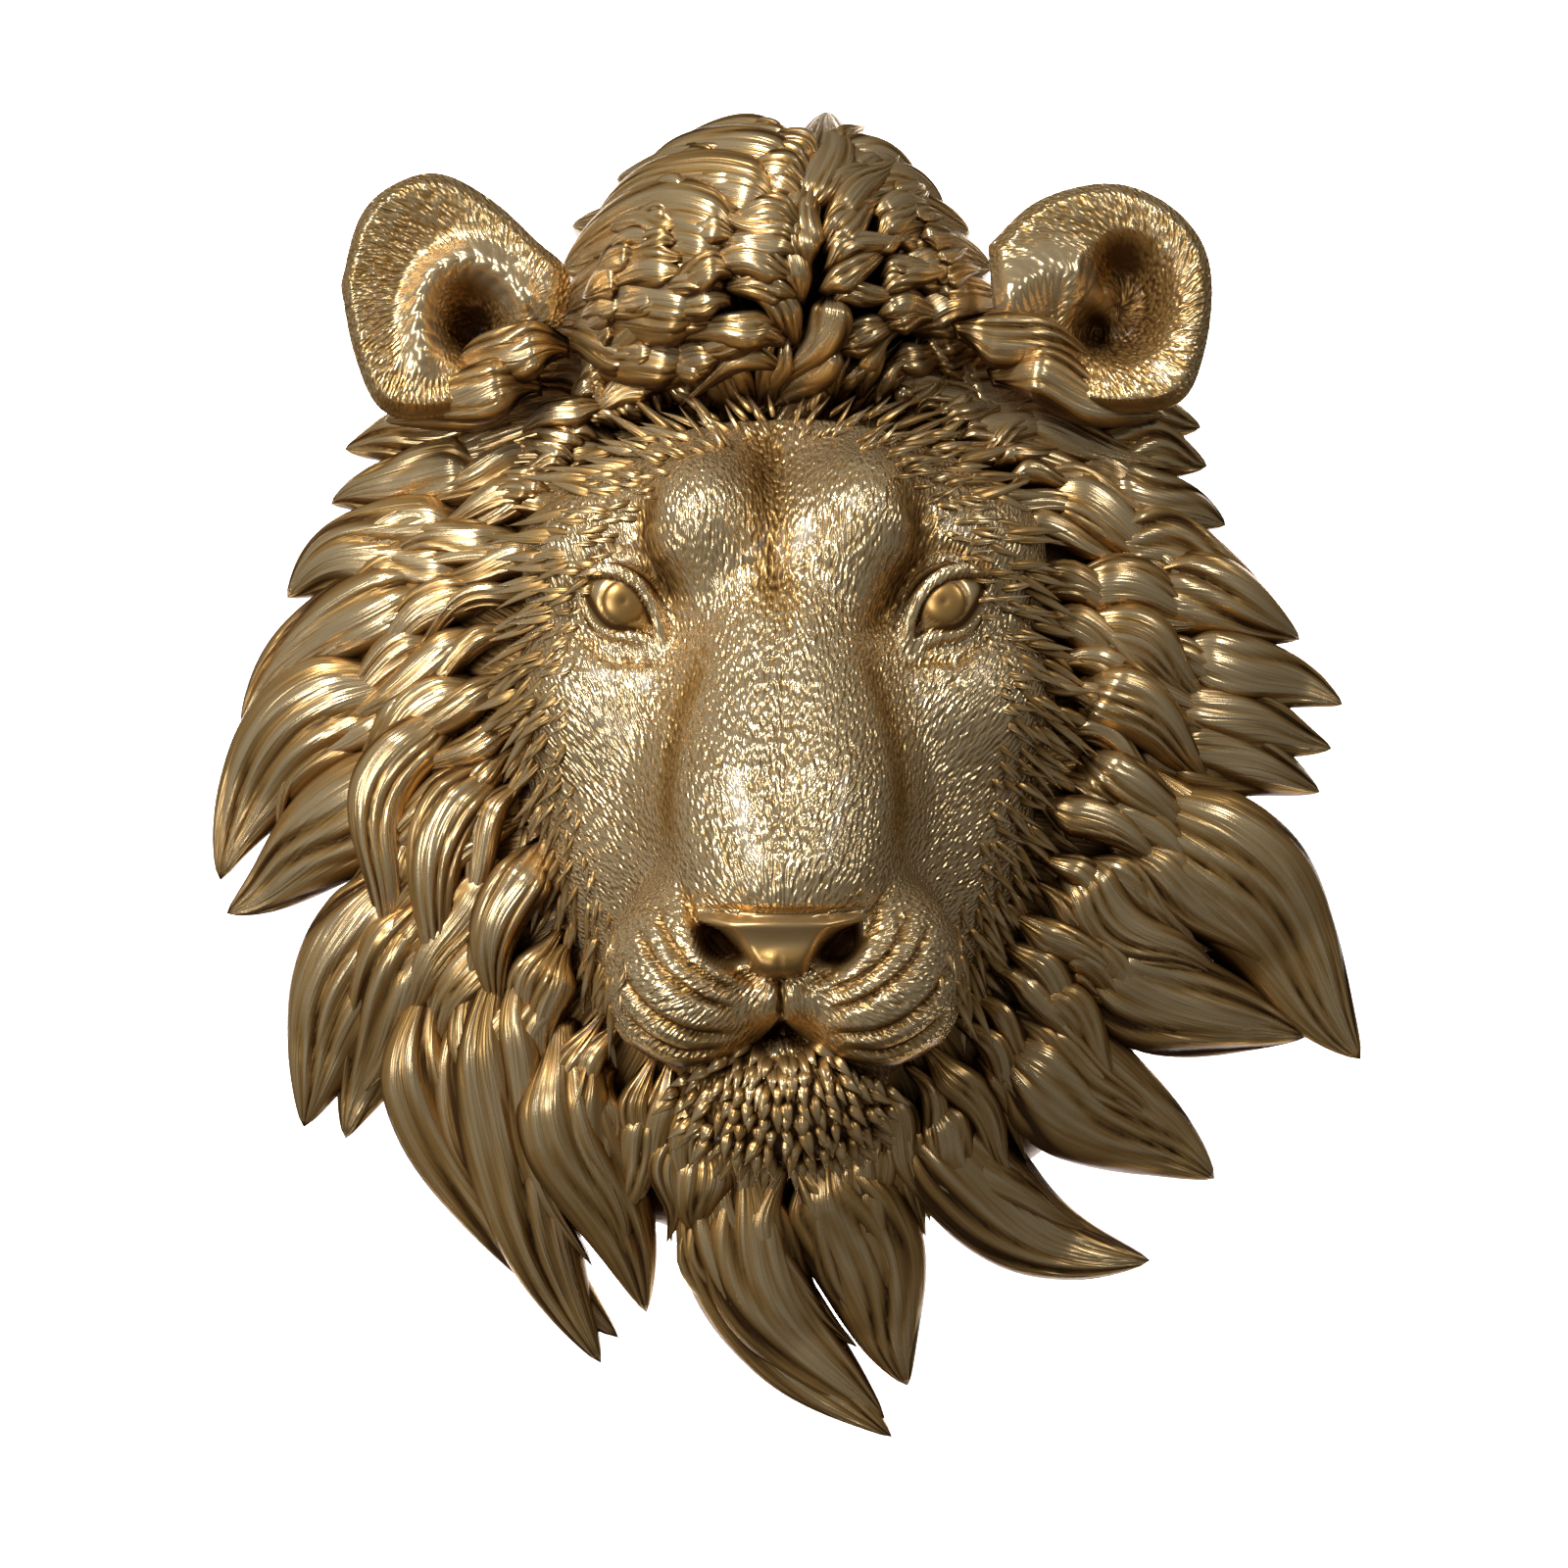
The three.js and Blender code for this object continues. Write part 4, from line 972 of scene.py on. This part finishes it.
for rise, up, tall, broad in PLATE_BUMPS:
    plate_height += rise * np.exp(-((z - up) / tall) ** 2 - (across / broad) ** 2)
plate_height -= 0.5 * np.exp(-((across / 0.5) ** 2)) * smoothstep((-33 - z) / 2)
mixed = np.where(inside, smoothstep(depth_in / 0.6), 0)
skin[:, 1] = h * (1 - mixed) + plate_height * mixed
bare = np.maximum(bare, np.where(inside, 1.0, 0.0))
# painted shade over the nose's bare end, deeper towards its foot
painted_shade = np.maximum(painted_shade, np.where(inside, 0.3 + 0.4 * smoothstep((-31 - z) / 5), 0))
groove = np.exp(-((edge_away / 0.7) ** 2)) * (depth_in < 0.2) * frontal
skin[:, 1] -= 0.9 * groove

# the nostrils
lean = math.radians(NOSTRIL["lean"])
for side in (-1, 1):
    out = side * across - NOSTRIL["out"]
    up = z - NOSTRIL["up"]
    along = out * math.cos(lean) + up * math.sin(lean)
    beside = -out * math.sin(lean) + up * math.cos(lean)
    half_long, half_wide = NOSTRIL["half"]
    near = np.hypot(along / half_long, (beside - NOSTRIL["bow"] * along * along) / half_wide)
    pit = (1 - smoothstep((near - 0.55) / 0.5)) * frontal * (1 - mixed)
    skin[:, 1] -= NOSTRIL["deep"] * pit
    # painted shade in the nostril
    painted_shade = np.maximum(painted_shade, pit)
    bare = np.maximum(bare, (1 - smoothstep((near - 1.0) / 0.35)) * frontal)

# the mouth's gap, and the shade under the lips
fall = (MOUTH["top"] - z) / (MOUTH["top"] - MOUTH["base"])
between = 1 - smoothstep((np.abs(x - MOUTH["aside"]) / MOUTH["half"] - fall) / 0.35)
gape = between * smoothstep((1.1 - fall) / 0.15) * (fall > 0) * frontal
skin[:, 1] -= MOUTH["deep"] * gape
# painted shade in the mouth's gap
painted_shade = np.maximum(painted_shade, gape)
x, h, z = skin.T
painted_shade = np.maximum(painted_shade, 0.8 * smoothstep((-53 - z - 0.004 * x * x) / 3) * (h > 60))

# the fur's direction, which runs out from the nose, and the point behind that closes the skin
way = np.arctan2(z + 35, 0.85 * (x + 0.8))
fur_way = doubled(way)
extra = len(face_mesh.vertices) - len(skin)
skin = np.vstack([skin] + [DRAWN_POINT] * extra)
# the drawn-in rim under the mane is in full painted shade
painted_shade = np.concatenate([painted_shade, np.ones(extra)])
bare = np.concatenate([bare, np.zeros(extra)])
fur_way = np.vstack([fur_way] + [(1, 0, 0)] * extra)
add_piece("face", face_mesh, skin, face_gold, painted_shade, bare, fur_way=fur_way)


# Tufts: short pointed ones that stand out of the skin in rows, downward on the chin, and round the
# face where its fur runs out into the mane.
TUFT_SKIN = leaf_skin("tuft_skin", 10, 9)
TUFT_ROOT = 1.2  # how deep a root is, and how far a tip lies over the skin
TUFT_TIP = 0.4
TUFT_FALL = 0.8  # at the face's edge a tuft stands free, and drops by this share of its length


def skin_height(x, z):
    """The height of the face, or of the mane beside it."""
    apart = (skin[:, 0] - x) ** 2 + (skin[:, 2] - z) ** 2
    nearest = np.argmin(apart - 0.02 * skin[:, 1])
    return max(skin[nearest, 1] if apart[nearest] < 4 else 0.0, float(mane_height(x, z)) - 2)


def tuft(root, slant, long, wide, rise):
    """One tuft from its root: slant is its clock direction, and rise lifts its middle off the skin."""
    _, angle, share = TUFT_SKIN
    run = share * long
    girth = wide * np.sin(np.pi * np.clip(share, 0.03, 1) ** 0.6) * (1 - 0.3 * share)
    aside = np.cos(angle) * girth
    sway = rng.uniform(-0.12, 0.12) * long * share ** 2
    x = root[0] + math.sin(slant) * run + math.cos(slant) * (aside + sway)
    z = root[1] + math.cos(slant) * run - math.sin(slant) * (aside + sway)
    start = skin_height(*root)
    stop = skin_height(root[0] + math.sin(slant) * long, root[1] + math.cos(slant) * long)
    stop = max(stop, start - TUFT_FALL * long)
    h = (start - TUFT_ROOT) * (1 - share) + (stop + TUFT_TIP) * share
    h = h + rise * np.sin(np.pi * share * 0.85) + np.sin(angle) * girth * 0.8
    # painted shade on the underside and near the root of each tuft; its top stays light
    painted_shade = 0.7 - 0.65 * np.clip(np.sin(angle), 0, 1) * smoothstep(share * 1.6)
    return np.stack([x, h, z], 1), painted_shade, np.stack([aside + rng.uniform(0, 90), run], 1)


BEARD_MIDDLE = (-0.6, -46)
BEARD_RISE = 2.4
BEARD_ROWS = [
    # how far from the middle, how many, how far round to each side
    (7.5, 9, 46), (10.5, 11, 48), (13.5, 13, 50), (16.5, 14, 52), (19.5, 15, 53), (22.5, 16, 53),
    (25.5, 16, 52), (28, 16, 48), (29.8, 15, 42), (31, 14, 38),
]
beard = []
for away, count, half_turn in BEARD_ROWS:
    for k in range(count):
        turn = math.radians(half_turn * (2 * (k + rng.uniform(-0.35, 0.35)) / (count - 1) - 1))
        root = (
            BEARD_MIDDLE[0] + away * math.sin(turn) + rng.uniform(-0.5, 0.5),
            BEARD_MIDDLE[1] - away * math.cos(turn) + rng.uniform(-0.8, 0.8),
        )
        slant = math.pi - turn * 0.9 + rng.uniform(-0.25, 0.25)
        beard.append((root, slant, rng.uniform(5.0, 8.0), rng.uniform(1.1, 1.8), BEARD_RISE))
joined_piece("beard", TUFT_SKIN, [tuft(*given) for given in beard])

EDGE_ROWS = [
    # share of the face's half size, how many to a side, length, half width
    (0.86, 60, 6, 0.65), (0.91, 64, 8, 0.8), (0.96, 64, 10, 0.95), (1.01, 60, 12, 1.15), (1.06, 50, 14, 1.45),
]
EDGE_FLOWS = {-1: (-24, -80, -112, -156, -176), 1: (24, 80, 104, 130, 166)}
EDGE_END = 138  # the rows end at this clock direction to each side
EDGE_RISE = 1.2
edge_tufts = []
for out, count, long, wide in EDGE_ROWS:
    for side, flows in EDGE_FLOWS.items():
        line = np.array(face_edge(side, EDGE_END * side, out))
        for k in range(count):
            t = (k + rng.uniform(0, 1)) / count
            root = [np.interp(t, np.linspace(0, 1, 9), line[:, n]) + rng.uniform(-1.6, 1.6) for n in (0, 1)]
            slant = np.radians(np.interp(t, np.linspace(0, 1, 5), flows)) + rng.uniform(-0.3, 0.3)
            length = long * rng.uniform(0.7, 1.3)
            edge_tufts.append((root, slant, length, wide * rng.uniform(0.7, 1.3), EDGE_RISE))
joined_piece("edge_tufts", TUFT_SKIN, [tuft(*given) for given in edge_tufts])


# Ears: furry all round, with a bowl that holds a smooth combed ridge over a deep hole.
EAR_RIM = 43
EAR_DISH = 5
EAR_HOLE = 4
EAR_THICK = 19.8
EAR_RIDGE = 7
EAR_ROLL = 4  # how far the rim rolls over
EAR_FRONT = 0.68  # how much of the skin is the ear's front
EAR_PAINTED_SHADE = 0.24
EARS = [
    # bowl and hole are x, z and half sizes from the ear's middle, and ridge runs over the bowl
    {
        "middle": (-72.5, 104.5), "lean": -3, "deep": 4,
        "bowl": (5.5, -5, 9, 10), "hole": (4.8, -6, 5.4, 4.2),
        "outline": [
            (-22.9, 2.7), (-18.9, 17.5), (-11.6, 24.8), (-1.7, 27.3), (9.5, 21.7), (18.9, 13.2), (26, 6),
            (24, -6), (13.7, -20.4), (-3.2, -25.7), (-14.3, -24), (-20, -12),
        ],
        "ridge": [(-4.6, -12.5), (-5.6, -3), (-2.8, 4.6), (4, 8.4), (11, 5.6), (16.5, 0)], "ridge_half": 4.4,
    },
    {
        "middle": (67, 103), "lean": 3, "deep": 9,
        "bowl": (6, 1, 10.5, 13), "hole": (-0.5, -5, 4.2, 5),
        "outline": [
            (-22.8, 13.7), (-12.3, 23.1), (2.4, 26.7), (14, 23.1), (22.4, 14.7), (25.1, 4.2), (23.4, -10.5),
            (18.2, -21), (4.5, -23), (-12.3, -19), (-20.7, -4.2),
        ],
        "ridge": [(-20, 0), (-14, 5), (-7, 7), (-1, 3.5)], "ridge_half": 6.0,
    },
]
bm = bmesh.new()
bmesh.ops.create_uvsphere(bm, u_segments=140, v_segments=92, radius=1)
ear_points = np.array([v.co for v in bm.verts])
ear_skin = bpy.data.meshes.new("ear_skin")
bm.to_mesh(ear_skin)
bm.free()
ear_angle = np.arctan2(ear_points[:, 1], ear_points[:, 0])
ear_share = np.arccos(np.clip(ear_points[:, 2], -1, 1)) / np.pi
for ear, label in zip(EARS, ("left_ear", "right_ear")):
    ring = curve_through(ear["outline"] + ear["outline"][:1])
    ring_angle = np.arctan2(ring[:, 1], ring[:, 0])
    order = np.argsort(ring_angle)
    ring_radius = np.hypot(ring[:, 0], ring[:, 1])
    radius = np.interp(ear_angle, ring_angle[order], ring_radius[order], period=2 * np.pi)
    front = np.minimum(ear_share / EAR_FRONT, 1)
    back = np.clip((ear_share - EAR_FRONT) / (1 - EAR_FRONT), 0, 1)
    out = front * (1 - back ** 1.6)
    x = np.cos(ear_angle) * radius * out
    z = np.sin(ear_angle) * radius * out
    bx, bz, hx, hz = ear["bowl"]
    deep_in = 1 - smoothstep((np.hypot((x - bx) / hx, (z - bz) / hz) - 0.45) / 0.75)
    dish = 1 - smoothstep((out - 0.3) / 0.6)
    rolled = smoothstep((out - 0.84) / 0.16) ** 2
    h_front = EAR_RIM - EAR_DISH * dish - ear["deep"] * deep_in - EAR_ROLL * rolled
    away, share = line_distance(x, z, curve_through(ear["ridge"]))
    ridge = np.exp(-((away / ear["ridge_half"]) ** 2)) * smoothstep(np.sin(np.pi * (0.1 + 0.8 * share)) * 2.5)
    combed = np.abs(np.cos(34 * share + 0.6 * away)) ** 0.7
    h_front += (EAR_RIDGE + 0.7 * (combed - 1)) * ridge
    px, pz, rx, rz = ear["hole"]
    hole = np.exp(-(((x - px) / rx) ** 2 + ((z - pz) / rz) ** 2) ** 1.5)
    h_front -= EAR_HOLE * hole
    h_back = EAR_RIM - EAR_ROLL - EAR_THICK * np.sin(back * np.pi / 2)
    h = np.where(back > 0, h_back, h_front) + ear["lean"] * x / 25
    place = np.stack([ear["middle"][0] + x, h, ear["middle"][1] + z], 1)
    way = np.arctan2(z - bz, x - bx) + 0.5
    # painted shade: a little all over the ear, more in the dish, the bowl and the hole, little on the ridge
    # but some in its combed lines
    painted_shade = EAR_PAINTED_SHADE + 0.2 * dish + 0.055 * ear["deep"] * deep_in + 0.45 * hole
    painted_shade = np.clip(painted_shade - 0.9 * ridge + 0.35 * ridge * (1 - combed), 0, 1)
    bare = np.clip(ridge * 1.4, 0, 1)
    add_piece(label, ear_skin.copy(), place, face_gold, painted_shade, bare, fur_way=doubled(way))
